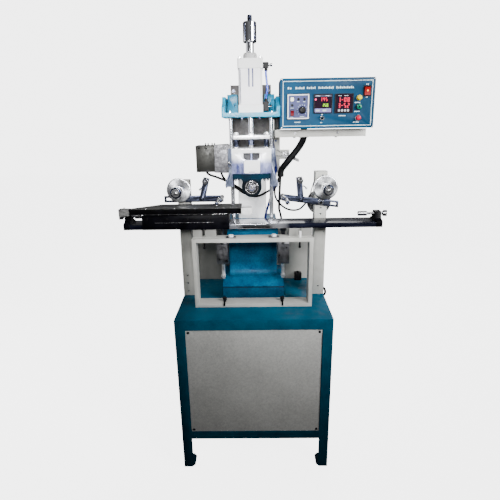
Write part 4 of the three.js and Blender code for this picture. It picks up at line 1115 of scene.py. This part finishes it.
def make_cross_plate_details():
    studs = [(-57, -80), (57, -80), (-57, -10), (57, -10)]
    top = span_of("cross_plate")[1].z
    trim = Piece("cross_plate_nuts")
    for centre in studs:
        trim.pin(12, (top + 0.2, top + 1.8), "z", centre, "zinc", 28)
        trim.turned([(5.6, top + 10.9), (4.6, top + 12)], "z", centre, "steel", 20)
    trim.pin(17, (top + 0.2, top + 4.5), "z", PRESS_AXIS, "zinc", 6)
    trim.done("press_head", "machined_steel", bevel=0.3)
    sleeves = Piece("stud_sleeves")
    for centre in studs:
        shape = [(7.5, 1349.6), (8, 1349), (8, 1322), (7.5, 1321)]
        sleeves.hollow([*shape, (6.5, 1321), (6.5, 1349.6)], "z", centre, "thread_dark", 32)
        sleeves.ring(11, 6.5, "z", centre, (1317.1, 1320.5), "zinc", 6)
    sleeves.done("press_head", "machined_steel", bevel=0.3)


def make_bearings():
    centre = (0, ROLLER_Z)
    for name in ("front", "rear"):
        node = f"{name}_bearing"
        low, high = span_of(node)
        front, back = low.y, high.y
        half = high.x
        seat = Piece(f"{name}_bearing_housing")
        outline = []
        for k in range(25):
            angle = math.radians(-205 + 230 * k / 24)
            outline.append((36 * math.cos(angle), ROLLER_Z + 36 * math.sin(angle)))
        flange = [(36, SHOULDER_Z - 5), (41, SHOULDER_Z), (half, SHOULDER_Z), (half, high.z)]
        outline.extend(flange)
        outline.extend((-x, z) for x, z in reversed(flange))
        seat.prism(outline, "y", (front + 2, back), "navy")
        seat.ring(35, 28, "y", centre, (front + 0.4, front + 2.2), "navy", 48)
        seat.ring(28, 24.6, "y", centre, (front + 1.4, front + 4), "black", 48)
        seat.ring(24.6, 21.6, "y", centre, (front, front + 4), "zinc", 48)
        seat.ring(21.6, 17.2, "y", centre, (front + 1.6, front + 5), "black", 48)
        seat.ring(17.2, 13.1, "y", centre, (front + 0.4, back), "zinc", 48)
        seat.stands_for(node, 0.8)


def make_roller():
    low, high = span_of("roller_shaft")
    centre = (0, (low.z + high.z) / 2)
    shaft = Piece("roller_spindle")
    shaft.turned([(10.5, low.y), (12.6, low.y + 1.6), (12.6, high.y)], "y", centre, "steel", 40)
    shaft.ring(9.5, 7.6, "y", centre, (low.y - 0.2, low.y + 0.4), "slot_navy", 32)
    shaft.pin(5.5, (low.y - 0.5, low.y + 0.6), "y", centre, "zinc", 6)
    shaft.stands_for("roller_shaft", 0.3)
    low, high = span_of("roller_sleeve")
    tread = Piece("silicone_roller")
    sides = [
        (36, low.y), (37.3, low.y + 0.6), (38, low.y + 2),
        (38, high.y - 2), (37.3, high.y - 0.6), (36, high.y),
    ]
    tread.hollow([*sides, (27, high.y), (27, low.y)], "y", centre, "silicone", 64)
    near, far = low.y + 0.4, high.y - 0.4
    tread.hollow([(26.9, near), (26.9, far), (13, far), (13, near)], "y", centre, "steel", 48)
    tread.stands_for("roller_sleeve", 0.2)


# ---------------------------------------------------------------- foil feed
def make_reels():
    for name, s in SIDES.items():
        node = f"{name}_foil_reel"
        front = span_of(node)[0].y
        centre = (s * 295, 1153 if s < 0 else 1156)
        reel = Piece(f"{name}_reel")
        dish = [(16, -6.4), (30, -7.2), (47, -7.6), (49, -8.4), (49, -9.4), (47.6, -10.6)]
        for k in range(12):
            radius = 46 - k * 2.6
            dish.append((radius, -11.0 - 0.16 * k))
            dish.append((radius - 1.3, -11.3 - 0.16 * k))
        dish.append((14, -13.6))
        reel.turned(dish, "y", centre, "reel", 72)
        reel.pin(14, (-69, -12), "y", centre, "black_steel", 40)
        reel.pin(16, (-6.6, 3), "y", centre, "steel", 40)
        reel.pin(6, (2.8, 60), "y", centre, "steel", 24)
        reel.turned([(19.5, -82), (21, -80.5), (21, -69.5), (19.5, -68)], "y", centre, "ring_blue", 48)
        reel.turned([(16, -84.5), (17, -82)], "y", centre, "zinc", 40)
        reel.hexagon(14, "y", centre, (front + 1.5, -82), "zinc")
        reel.dome(5.5, 1.5, "y", centre, front + 1.6, "zinc")
        if s < 0:
            reel.pin(12, (57.5, 66), "y", centre, "zinc", 32)
        else:
            rim = [(38, 60), (38, 61.6), (36.4, 62), (36.4, 74), (38, 74.4), (38, 76)]
            reel.turned(rim, "y", centre, "motor", 64)
        reel.stands_for(node, 0.25)


MOTOR_AXIS = (285, 1080)  # x and z


def make_motor():
    back = span_of("rewind_motor")[1].y
    centre = MOTOR_AXIS
    motor = Piece("gear_motor")
    motor.turned([(48.5, 80), (50, 81.5), (50, 110), (48.5, 112)], "y", centre, "motor", 64)
    can = [(42, 112)]
    for k in range(8):
        groove = 115 + 4 * k
        can.extend([(42, groove), (41.2, groove + 0.3), (41.2, groove + 2.0), (42, groove + 2.3)])
    can.extend([(42, 150), (38, 153), (36, back)])
    motor.turned(can, "y", centre, "motor", 64)
    motor.block((284, 304), (57.3, 82), (1033, 1060), "steel")
    for spot in around(centre, 42, 4, 45):
        motor.hexagon(7, "y", spot, (77.5, 80.5), "zinc")
    motor.stands_for("rewind_motor", 0.5)
    centre = centre_of("motor_pulley", "y")
    pulley = Piece("motor_drive_pulley")
    rim = [(14, 61), (14, 62.2), (13, 62.6), (13, 73.6), (14, 74), (14, 75)]
    pulley.turned(rim, "y", centre, "steel", 40)
    pulley.pin(5, (74, span_of("motor_pulley")[1].y), "y", centre, "steel", 20)
    pulley.stands_for("motor_pulley", 0.25)


UPRIGHTS = {
    "left": {"tip": (-184, 1191), "foot": (-203, 1116), "knob": (-209, 1156)},
    "right": {"tip": (189, 1189), "foot": (197, 1107.67), "knob": (217, 1155)},
}


def make_upright_details():
    for name, s in SIDES.items():
        tip, foot, knob = (UPRIGHTS[name][key] for key in ("tip", "foot", "knob"))
        node = f"{name}_tip_roller"
        low, high = span_of(node)
        roller = Piece(f"{name}_guide_roller")
        outer = [(10.8, low.y), (12, low.y + 1.2), (12, high.y - 1.2), (10.8, high.y)]
        roller.hollow([*outer, (4.3, high.y), (4.3, low.y)], "y", tip, "chrome", 48)
        roller.stands_for(node, 0.2)
        trim = Piece(f"{name}_upright_fixings")
        trim.dome(6.5, 3.2, "y", foot, -5.4, "screw_black")
        trim.pin(7.5, (-6.4, -5.5), "y", foot, "thread_dark", 28)
        trim.hexagon(7, "y", tip, (-50.5, -46.3), "zinc")
        x, z = knob
        arm = [(x - s * 12, -8, z + 9), (x - s * 5, -14, z + 6), (x, -17, z)]
        trim.tube(arm, 2.4, "thread_dark", 12, 2)
        trim.dome(4.4, 4, "y", knob, -15, "zinc")
        trim.dome(4.4, 4, "y", knob, -15.2, "zinc", 1)
        trim.done(f"{name}_upright", "machined_steel", bevel=0.3)


def make_arm_details():
    """Rollers on the foil pins with a washer at each end, and a bright washer and a black bolt head at each
    clamp bolt.
    """
    pins = {
        "left": [(-122, 1123), (-137, 1111)],
        "right": [(122, 1125.35), (137, 1111.2)],
    }
    pivots = {"left": (-280, 1116), "right": (279, 1096)}
    for name in SIDES:
        trim = Piece(f"{name}_arm_fixings")
        for x, z in pins[name]:
            roller = [(7.4, -84), (8, -83), (8, -14), (7.4, -13), (5.6, -13), (5.6, -84)]
            trim.hollow(roller, "y", (x, z), "steel", 28)
            trim.ring(8.6, 5.6, "y", (x, z), (-91.5, -86), "zinc", 24)
            trim.ring(8.6, 5.6, "y", (x, z), (-6, -0.3), "zinc", 24)
        trim.ring(11.5, 6.5, "y", pivots[name], (-3.4, -2.1), "zinc", 36)
        trim.pin(6.2, (-7.6, -6.2), "y", pivots[name], "screw_black", 6)
        trim.done(f"{name}_arm", "machined_steel", bevel=0.3)


def make_post_details():
    """Threaded holes and screws on the posts' front faces."""
    spots = {
        "left": [(-284, 783.9), (-284, 747.6), (-284, 711.8)],
        "right": [(285, 1203), (280, 1072), (280, 1046), (279, 728.5)],
    }
    for name in SIDES:
        trim = Piece(f"{name}_post_screws")
        for x, z in spots[name]:
            trim.ring(4.2, 2.4, "y", (x, z), (6.2, 7.4), "steel", 20)
            trim.pin(2.5, (6.6, 7.4), "y", (x, z), "screw_black", 20)
        trim.done("machine", "black_steel", bevel=0.15)


# ---------------------------------------------------------------- slide and table
STOP_AXIS = (-48, 1057)  # y and z


def make_stop_screws():
    for name, s in SIDES.items():
        node = f"{name}_stop_screw"
        low, high = span_of(node)
        centre = STOP_AXIS
        inner, outer = (low.x, high.x) if s > 0 else (high.x, low.x)
        length = 35 if s > 0 else 25
        screw = Piece(f"{name}_stop")
        ribs = []
        for k in range(12):
            start = inner + s * (2 + (length - 4) * k / 12)
            ribs.extend([(10, start), (9.4, start + s * (length - 4) / 24)])
        tail = [(10, inner + s * (length - 1.5)), (8.4, inner + s * length)]
        bumper = [(8.4, inner), (10, inner + s * 1.5), *ribs[1:], *tail]
        screw.turned(bumper, "x", centre, "zinc", 40)
        thread = []
        count = 36
        reach = 518 - abs(inner + s * length) + 2
        for k in range(count):
            start = inner + s * (length - 1 + reach * k / count)
            thread.extend([(5, start), (4.4, start + s * reach / count / 2)])
        screw.turned(thread, "x", centre, "steel", 20)
        hub = [(7.4, s * 516), (8.4, s * 517.2), (8.4, s * 530.8), (7.4, s * 532)]
        screw.turned(hub, "x", centre, "zinc", 32)
        wing = (min(s * 519, outer), max(s * 519, outer))
        screw.block(wing, (-51, -45), (1045, 1069), "zinc")
        screw.stands_for(node, 0.6)
        locknut = Piece(f"{name}_stop_locknut")
        x = 474 if s > 0 else 474.5
        locknut.hexagon(13, "x", centre, (s * (x + 0.5), s * (x + 6.5)), "zinc")
        locknut.done("machine", "machined_steel", bevel=0.4)


def make_table_details():
    trim = Piece("table_fixings")
    for x in (-133, -106.5, -76, -300, -220, -410):
        trim.pin(4.6, (1096.8, 1098.2), "z", (x, -108), "zinc", 24)
        trim.dome(3.8, 2, "z", (x, -108), 1098, "zinc", 1)
    trim.pin(2.6, (1098, 1103), "z", (-490, -112), "zinc", 16)
    trim.dome(4.2, 2.5, "z", (-490, -112), 1103, "zinc", 1)
    trim.block((-469.4, -41.5), (-115.5, -114.9), (1075.4, 1076.4), "zinc")
    trim.block((-380, -150), (-101.5, -100.9), (1039.5, 1041.0), "steel")
    trim.done("table", "machined_steel", bevel=0.2)
    wire = Piece("table_wire_gauge")
    bent = [(-41, 1098.5), (-22, 1099.6), (-7, 1099.2), (-1.5, 1095.5), (-0.8, 1088)]
    wire.tube([(x, -110, z) for x, z in bent], 1.6, "screw_black", 12, 2)
    wire.done("table", "machined_steel")
    underside = Piece("saddle_fixings")
    for x in (-410, -330, -250, -170, -110):
        underside.pin(4.4, (-101.3, -98), "y", (x, 1055), "screw_black", 24)
        underside.pin(2.2, (-101.4, -101), "y", (x, 1055), "black", 6)
    underside.done("table", "black_steel", bevel=0.2)


# ---------------------------------------------------------------- box frame and cabinet
def make_frame_details():
    knobs = Piece("box_frame_knobs")
    for x in (-118, 118):
        knobs.pin(6.5, (705.1, 707.5), "z", (x, -95), "screw_black", 28)
        knobs.pin(3.2, (707, 713), "z", (x, -95), "screw_black", 20)
        knobs.turned([(7.6, 712), (8.8, 713.2), (8.8, 721.5), (7.2, 723.5)], "z", (x, -95), "black", 24)
        knobs.block((x - 3.5, x + 3.5), (-127, -95), (705.5, 708.5), "screw_black")
        knobs.block((x - 3.5, x + 3.5), (-127, -124), (697, 708.5), "screw_black")
    for x in (-194, 188):
        knobs.pin(3.4, (930, 964), "z", (x, -80), "screw_black", 20)
        knobs.pin(4.6, (927, 934), "z", (x, -80), "black", 20)
        knobs.hexagon(11, "z", (x, -80), (958, 963.4), "screw_black")
    knobs.done("machine", "black_plastic", bevel=0.5)
    pads = Piece("levelling_pads")
    for x0, x1 in ((-104, -65), (64, 104)):
        pads.prism(rounded_rect((x0, x1), (-116, -88), 6), "z", (978.6, 982), "grey")
        pads.hexagon(17, "z", ((x0 + x1) / 2, -102), (981.6, 990), "pad_white")
    pads.pin(5, (978.6, 1004), "z", (185, -112), "pad_white", 20)
    pads.done("machine", "machined_steel", bevel=0.5)


def make_cabinet_details():
    low, high = span_of("front_panel")
    screws = Piece("front_panel_screws")
    for x in (low.x + 11, high.x - 11):
        for z in (low.z + 9, high.z - 11):
            screws.pin(5.6, (low.y + 0.1, low.y - 0.7), "y", (x, z), "thread_dark", 28)
            screws.dome(4.4, 2.3, "y", (x, z), low.y - 0.6, "screw_black")
    screws.done("machine", "black_plastic", bevel=0.1)
    low, high = span_of("rear_cover")
    sides = Piece("cover_screws")
    for s, x in ((-1, low.x), (1, high.x)):
        for y in (-185, 0, 185):
            for z in (low.z + 48, high.z - 48):
                sides.dome(4.2, 2.2, "x", (y, z), x, "screw_black", s)
    for x in (-250, 0, 250):
        for z in (low.z + 48, high.z - 48):
            sides.dome(4.2, 2.2, "y", (x, z), high.y, "screw_black", 1)
    sides.done("machine", "black_plastic")


def make_column_details():
    """Bolts on the bracket's back plate and the column, and the cover screws behind."""
    bolts = Piece("column_bolts")
    for x in (-68, 68):
        for z in (1230, 1530):
            bolts.pin(7.5, (79.9, 78.4), "y", (x, z), "grey", 28)
            bolts.pin(5.4, (78.6, 73), "y", (x, z), "thread_dark", 24)
    for x in (-40, 40):
        for z in (1060, 1250, 1500):
            bolts.hexagon(13, "y", (x, z), (205, 211), "zinc")
    bolts.done("machine", "machined_steel", bevel=0.5)
    trim = Piece("bracket_fixings")
    for s in (-1, 1):
        trim.pin(6.2, (1443, 1449), "z", (s * 79, -28), "zinc", 6)
        trim.pin(3, (1448, 1452), "z", (s * 79, -28), "zinc", 16)
        trim.hexagon(9, "z", (s * 32, -100), (1420.5, 1426.9), "thread_dark")
    trim.done("machine", "machined_steel", bevel=0.4)


# ---------------------------------------------------------------- control panel
FACE_Y = -81.0  # front of the panel's face
CASE_BACK = -30  # back of the instruments' cases
TOGGLE_AT = (260, 1420)
TOGGLE_TILT = math.radians(12)

SEGMENTS = {
    "0": "abcdef", "1": "bc", "2": "abged", "3": "abgcd", "4": "fgbc",
    "5": "afgcd", "6": "afgedc", "7": "abc", "8": "abcdefg", "9": "abcdfg",
}


def segment_bars(width, height, thick):
    """The seven bars of a digit as (x range, z range) from its lower left corner."""
    half = height / 2
    return {
        "a": ((thick, width - thick), (height - thick, height)),
        "b": ((width - thick, width), (half + 0.2, height - 0.2)),
        "c": ((width - thick, width), (0.2, half - 0.2)),
        "d": ((thick, width - thick), (0, thick)),
        "e": ((0, thick), (0.2, half - 0.2)),
        "f": ((0, thick), (half + 0.2, height - 0.2)),
        "g": ((thick, width - thick), (half - thick / 2, half + thick / 2)),
    }


def digits(piece, text, x, z, height, y, look):
    """Draws a number in lit bars; x is its left edge."""
    width, thick, gap = height * 0.54, height * 0.19, height * 0.22
    bars = segment_bars(width, height, thick)
    for character in text:
        if character == ".":
            piece.block((x, x + thick), (y - 0.3, y), (z, z + thick), look)
            x += thick + gap
        elif character == "-":
            piece.block((x, x + width * 0.7), (y - 0.3, y), (z + height * 0.42, z + height * 0.58), look)
            x += width * 0.7 + gap
        else:
            for key in SEGMENTS[character]:
                (x0, x1), (z0, z1) = bars[key]
                piece.block((x + x0, x + x1), (y - 0.3, y), (z + z0, z + z1), look)
            x += width + gap


def caption(piece, x, z, width, height=2.6, y=FACE_Y):
    """A short row of plain dashes where a caption would be."""
    count = max(2, round(width / 4.2))
    pitch = width / count
    for k in range(count):
        start = x - width / 2 + k * pitch
        dash = (start, start + pitch * 0.72)
        piece.block(dash, (y - 0.25, y + 0.1), (z - height / 2, z + height / 2), "print")


def make_panel_print():
    low, high = span_of("panel_face")
    lines = Piece("panel_print")
    x, z = inset((low.x, high.x), 9.5), (low.z + 8.5, high.z - 9.5)
    border(lines, (x, z), (inset(x, 1.9), inset(z, 1.9)), (FACE_Y - 0.3, FACE_Y + 0.1), "print")
    for x0, x1 in ((134, 150), (162, 196), (203, 236), (244, 300), (308, 372)):
        title_bars(lines, x0, x1, 1524)
    for cx, cz, width in (
        (171, 1407, 22), (258, 1404.5, 7), (333.5, 1427.5, 26), (386.5, 1471.5, 20),
        (386.5, 1441, 20), (385, 1404.5, 22), (419, 1533, 10), (419, 1489.5, 8), (260, 1432.5, 7),
    ):
        caption(lines, cx, cz, width)
    lines.done("machine", "blue_paint")
    screws = Piece("panel_screws")
    for sx in (low.x + 4.6, high.x - 4.6):
        for sz in (low.z + 4.6, high.z - 4.6):
            screws.dome(2.8, 1.4, "y", (sx, sz), FACE_Y, "zinc")
    screws.done("machine", "machined_steel")


def title_bars(piece, x0, x1, z, height=7.0):
    """A plain dash pattern in place of a printed title."""
    count = max(2, round((x1 - x0) / 6.5))
    pitch = (x1 - x0) / count
    for k in range(count):
        start = x0 + k * pitch
        tall = height if k % 2 == 0 else height * 0.72
        bar = (z - height / 2, z - height / 2 + tall)
        piece.block((start, start + pitch * 0.62), (FACE_Y - 0.3, FACE_Y + 0.1), bar, "print")


def make_dial_instrument():
    low, high = span_of("dial_instrument")
    front = low.y
    unit = Piece("power_controller")
    x, z = (low.x, high.x), (low.z, high.z)
    unit.prism(rounded_rect(x, z, 3), "y", (front + 1.6, FACE_Y - 0.3), "black")
    unit.block(inset(x, 4.3), (FACE_Y - 0.4, CASE_BACK), inset(z, 4.3), "black")
    rim, field = (inset(x, 2.4), inset(z, 2.4)), (inset(x, 6), inset(z, 6))
    border(unit, rim, field, (front, front + 2), "pad_white")
    unit.block(field[0], (front + 1.0, front + 1.8), field[1], "slate")
    unit.stands_for("dial_instrument", 0.35)
    marks = Piece("power_controller_marks")
    top = front + 1.0
    marks.prism(rounded_rect((145, 155), (1480, 1492), 1.5), "y", (top - 0.9, top + 0.1), "led_white")
    for cx, cz in ((172.5, 1486), (194, 1486), (150, 1465.5)):
        marks.dome(4.6, 1.6, "y", (cx, cz), top, "black")
        marks.ring(5.6, 4.6, "y", (cx, cz), (top - 0.4, top + 0.1), "thread_dark", 28)
    knob_x, knob_z = centre_of("dial_knob", "y")
    for k in range(11):
        angle = math.radians(-135 + 27 * k)
        reach = (16.5, 20.0 if k % 2 == 0 else 18.6)
        tick(marks, knob_x, knob_z, angle, reach, top)
    caption(marks, 172.5, 1477.5, 10, 1.8, top)
    caption(marks, 194, 1477.5, 8, 1.8, top)
    caption(marks, 150, 1456, 11, 1.8, top)
    caption(marks, 150, 1424.5, 11, 1.8, top)
    caption(marks, knob_x, 1426.5, 16, 1.8, top)
    marks.done("machine", "blue_paint")
    seat = Piece("small_rocker_bezel")
    edge, hole = ((143.4, 157.6), (1428, 1451)), ((144.7, 156.3), (1429.6, 1449.4))
    border(seat, edge, hole, (top - 0.9, top + 0.1), "black")
    seat.done("machine", "black_plastic", bevel=0.2)


def tick(piece, x, z, angle, reach, y):
    """A short radial mark; angle is from straight up, clockwise."""
    away = Vector((math.sin(angle), math.cos(angle)))
    side = Vector((away.y, -away.x)) * 0.55
    inner, outer = away * reach[0], away * reach[1]
    corners = [inner + side, outer + side, outer - side, inner - side]
    piece.prism([(x + c.x, z + c.y) for c in corners], "y", (y - 0.3, y + 0.1), "print")


def make_displays():
    low, high = span_of("temperature_controller")
    unit = Piece("temperature_display")
    shell(unit, low, high)
    glass = low.y + 0.9
    unit.block((low.x + 3, high.x - 3), (glass, glass + 1), (low.z + 3, high.z - 3), "window")
    unit.block((low.x + 4, high.x - 4), (glass - 0.5, glass + 0.2), (low.z + 4, low.z + 17), "lilac")
    unit.block((low.x + 4, high.x - 4), (glass - 0.3, glass + 0.2), (high.z - 10, high.z - 4), "lilac_dark")
    digits(unit, "145", 251, 1478, 12.5, glass, "digit_red")
    digits(unit, "150", 258, 1459, 10.5, glass, "digit_green")
    unit.dome(3.4, 1.0, "y", (234.5, 1484), glass, "led_pink")
    for x0 in (236, 260):
        key = rounded_rect((x0, x0 + 14), (1443, 1449.5), 1.5)
        unit.prism(key, "y", (glass - 1.1, glass - 0.3), "keys")
    caption(unit, 243, 1496, 16, 1.8, glass - 0.2)
    caption(unit, 277, 1496, 12, 1.8, glass - 0.2)
    unit.stands_for("temperature_controller", 0.25)
    low, high = span_of("timer_unit")
    unit = Piece("timer_display")
    shell(unit, low, high)
    unit.block((low.x + 3, high.x - 3), (glass, glass + 1), (low.z + 3, high.z - 3), "window")
    digits(unit, "1-08", 315.5, 1474, 15.5, glass, "digit_red")
    digits(unit, "3-52", 315.5, 1454.5, 15.5, glass, "digit_red")
    for k in range(4):
        x0 = 316 + k * 11
        unit.prism(rounded_rect((x0, x0 + 7), (1441.5, 1449), 1.2), "y", (glass - 1.0, glass + 0.1), "keys")
    caption(unit, 322, 1495.5, 12, 1.6, glass)
    caption(unit, 345, 1495.5, 14, 1.6, glass)
    unit.stands_for("timer_unit", 0.25)


def shell(unit, low, high):
    """A moulded bezel with a stepped rim, and the case behind the panel."""
    x, z = (low.x, high.x), (low.z, high.z)
    unit.prism(rounded_rect(x, z, 3), "y", (low.y + 1.8, FACE_Y - 0.3), "black")
    border(unit, (inset(x, 0.6), inset(z, 0.6)), (inset(x, 3), inset(z, 3)), (low.y, low.y + 2), "black")
    unit.block(inset(x, 4.3), (FACE_Y - 0.4, CASE_BACK), inset(z, 4.3), "black")


def make_controls():
    for colour in ("yellow", "green", "red"):
        node = f"{colour}_button"
        low, high = span_of(node)
        centre = centre_of(node, "y")
        button = Piece(f"{colour}_push_button")
        cap = [(8.4, -85), (8.4, low.y + 2), (7.8, low.y + 0.8), (6.6, low.y)]
        button.turned(cap, "y", centre, colour)
        if colour == "green":
            button.hexagon(9, "y", centre, (low.y, low.y + 0.6), colour)
        button.pin(5, (-85.5, high.y), "y", centre, "black", 24)
        button.stands_for(node, 0.3)
        collar = Piece(f"{colour}_button_collar")
        rim = [(11, FACE_Y), (11, -82.6), (10.2, -83.6), (8.9, -83.6), (8.9, FACE_Y)]
        collar.hollow(rim, "y", centre, "black" if colour == "green" else "zinc")
        collar.done("machine", "machined_steel")
    low, high = span_of("mains_rocker")
    paddle = Piece("mains_rocker_paddle")
    tilted_paddle(paddle, low, high, "lit_red", 7)
    x, z = centre_of("mains_rocker", "y")
    paddle.dome(2.6, 0.6, "y", (x, z + 1), low.y + 1.9, "hot_spot")
    paddle.stands_for("mains_rocker", 0.5)
    x, z = (low.x, high.x), (low.z, high.z)
    bezel = Piece("mains_rocker_bezel")
    edge, hole = (inset(x, -3.6), inset(z, -4.2)), (inset(x, -0.6), inset(z, -1.0))
    border(bezel, edge, hole, (FACE_Y - 2.2, FACE_Y), "black")
    bezel.done("machine", "black_plastic", bevel=0.5)
    low, high = span_of("small_rocker")
    paddle = Piece("small_rocker_paddle")
    tilted_paddle(paddle, low, high, "dark_red", 7)
    paddle.stands_for("small_rocker", 0.4)
    bat = Piece("toggle_bat")
    bat.turned([(2.2, 0), (2.2, 10), (3.2, 20), (3.5, 22), (2.6, 24)], "z", (0, 0), "chrome", 28)
    turn = Matrix.Rotation(math.pi / 2 - TOGGLE_TILT, 4, "X")
    bmesh.ops.transform(bat.mesh, matrix=turn, verts=bat.mesh.verts)
    pivot = Vector((TOGGLE_AT[0], -77, TOGGLE_AT[1])) * MM
    bmesh.ops.translate(bat.mesh, vec=pivot, verts=bat.mesh.verts)
    bat.stands_for("toggle_switch", 0.3)
    nut = Piece("toggle_nut")
    flats = [(8.6, FACE_Y), (8.6, -84.2), (7.8, -85), (6.8, -85), (6.8, FACE_Y)]
    nut.hollow(flats, "y", TOGGLE_AT, "zinc", 6)
    collar = [(6.6, FACE_Y), (6.6, -87.2), (5.2, -87.2), (5.2, FACE_Y)]
    nut.hollow(collar, "y", TOGGLE_AT, "zinc", 28)
    nut.done("machine", "machined_steel")
    back = span_of("dial_knob")[1].y
    centre = centre_of("dial_knob", "y")
    knob = Piece("power_knob")
    steps = [(13, -87.6), (13, -90), (11.6, -91), (11.2, -100.5), (9.6, -102.4), (6, -103)]
    knob.turned(steps, "y", centre, "black", 24)
    knob.pin(3, (-87.8, back), "y", centre, "steel", 20)
    x, z = centre
    knob.block((x - 0.7, x + 0.7), (-102.9, -101.6), (z + 3, z + 9.5), "print")
    knob.stands_for("dial_knob", 0.4)


def tilted_paddle(piece, low, high, look, degrees):
    """A curved rocker paddle whose upper edge stands out."""
    middle_y, middle_z = (low.y + high.y) / 2, (low.z + high.z) / 2
    half_z = (high.z - low.z) / 2 - 1.2
    tilt = math.radians(degrees)
    depth = (high.y - low.y) / 2 - half_z * math.sin(tilt)
    outline = []
    for k in range(9):
        t = -1 + k / 4
        outline.append((-depth + 1.4 * (1 - t * t), t * half_z))
    outline.extend([(depth, half_z), (depth, -half_z)])
    turned_points = []
    for y, z in outline:
        turned_points.append((
            middle_y + y * math.cos(tilt) - z * math.sin(tilt),
            middle_z + y * math.sin(tilt) + z * math.cos(tilt),
        ))
    piece.prism(turned_points, "x", (low.x + 0.2, high.x - 0.2), look)


def make_stand_details():
    trim = Piece("stand_screws")
    for x in (168, 330):
        trim.pin(5, (1353.2, 1349.5), "z", (x, 5), "screw_black", 20)
        trim.pin(5, (-25.3, -24.8), "y", (x, 1367), "steel", 20)
    for z in (1216, 1338):
        trim.pin(5.2, (108.1, 106.6), "y", (101, z), "thread_dark", 24)
    trim.ring(18, 14.2, "z", (205, 8), (1350.5, 1353), "black", 32)
    trim.done("machine", "black_plastic", bevel=0.3)
    gland = Piece("stand_gland_block")
    gland.block((92.5, 119), (88, 107), (1381.3, 1430), "black")
    gland.block((95, 116.5), (86.8, 88.1), (1385, 1426), "screw_black")
    gland.turned([(7, 1429.9), (7, 1433), (5, 1436)], "z", (106, 97.5), "black", 24)
    gland.done("machine", "black_plastic", bevel=1.0)
    vents = Piece("panel_box_vents")
    low, high = span_of("panel_box")
    for k in range(9):
        z = 1410 + k * 14
        for x in ((150, 220), (330, 400)):
            vents.block(x, (high.y - 0.3, high.y + 0.35), (z, z + 4), "black")
    for x in (low.x + 8, high.x - 8):
        for z in (low.z + 8, high.z - 8):
            vents.dome(3.4, 1.6, "y", (x, z), high.y, "zinc", 1)
    vents.done("machine", "black_plastic")


def make_clamp_lever():
    pivot = (142, 1281)
    lever = Piece("clamp_handle")
    outline = [(131, 1277), (134, 1288), (141, 1291), (196, 1262), (199, 1256), (195, 1250)]
    lever.prism(outline, "y", (92, 99), "grey")
    lever.turned([(13.5, 90), (14, 91), (14, 106.7), (13.5, 107.6)], "y", pivot, "steel", 40)
    lever.hexagon(20, "y", pivot, (80.5, 90.5), "zinc")
    lever.pin(5, (80.2, 128), "y", pivot, "zinc", 20)
    lever.stands_for("clamp_lever", 0.7)
    rods = Piece("clamp_links")
    rods.tube([(126, 104, 1276), (108, 104, 1276), (92, 103, 1281), (80, 103, 1283)], 2.0, "steel", 10, 3)
    rods.tube([(130, 104, 1288), (110, 104, 1298), (92, 103, 1308), (84, 103, 1312)], 1.8, "steel", 10, 3)
    rods.done("machine", "machined_steel")


def make_junction_details():
    trim = Piece("junction_fixings")
    for x, z in ((-212, 1315), (-184, 1313)):
        trim.dome(4.2, 1.8, "y", (x, z), 40, "screw_black")
    for x in (-187, -176, -160, -150):
        trim.turned([(2.6, 1322), (2.6, 1330), (1.8, 1334)], "z", (x, 60), "screw_black", 16)
    cord = [(-104, 41.8, 1318), (-93, 41.6, 1298), (-90, 41.5, 1270), (-94, 41.6, 1240)]
    trim.tube(cord, 1.4, "steel", 10, 3)
    for x in (-188, -128):
        trim.pin(6.5, (1214.5, 1220), "z", (x, 82), "black", 24)
    trim.done("machine", "black_plastic", bevel=0.3)


make_cables()
make_air_line()
make_cylinder()
make_rod()
make_stroke_nut()
make_guide_rods()
make_head_details()
make_cross_plate_details()
make_bearings()
make_roller()
make_reels()
make_motor()
make_upright_details()
make_arm_details()
make_post_details()
make_stop_screws()
make_table_details()
make_frame_details()
make_cabinet_details()
make_column_details()
make_panel_print()
make_dial_instrument()
make_displays()
make_controls()
make_stand_details()
make_clamp_lever()
make_junction_details()
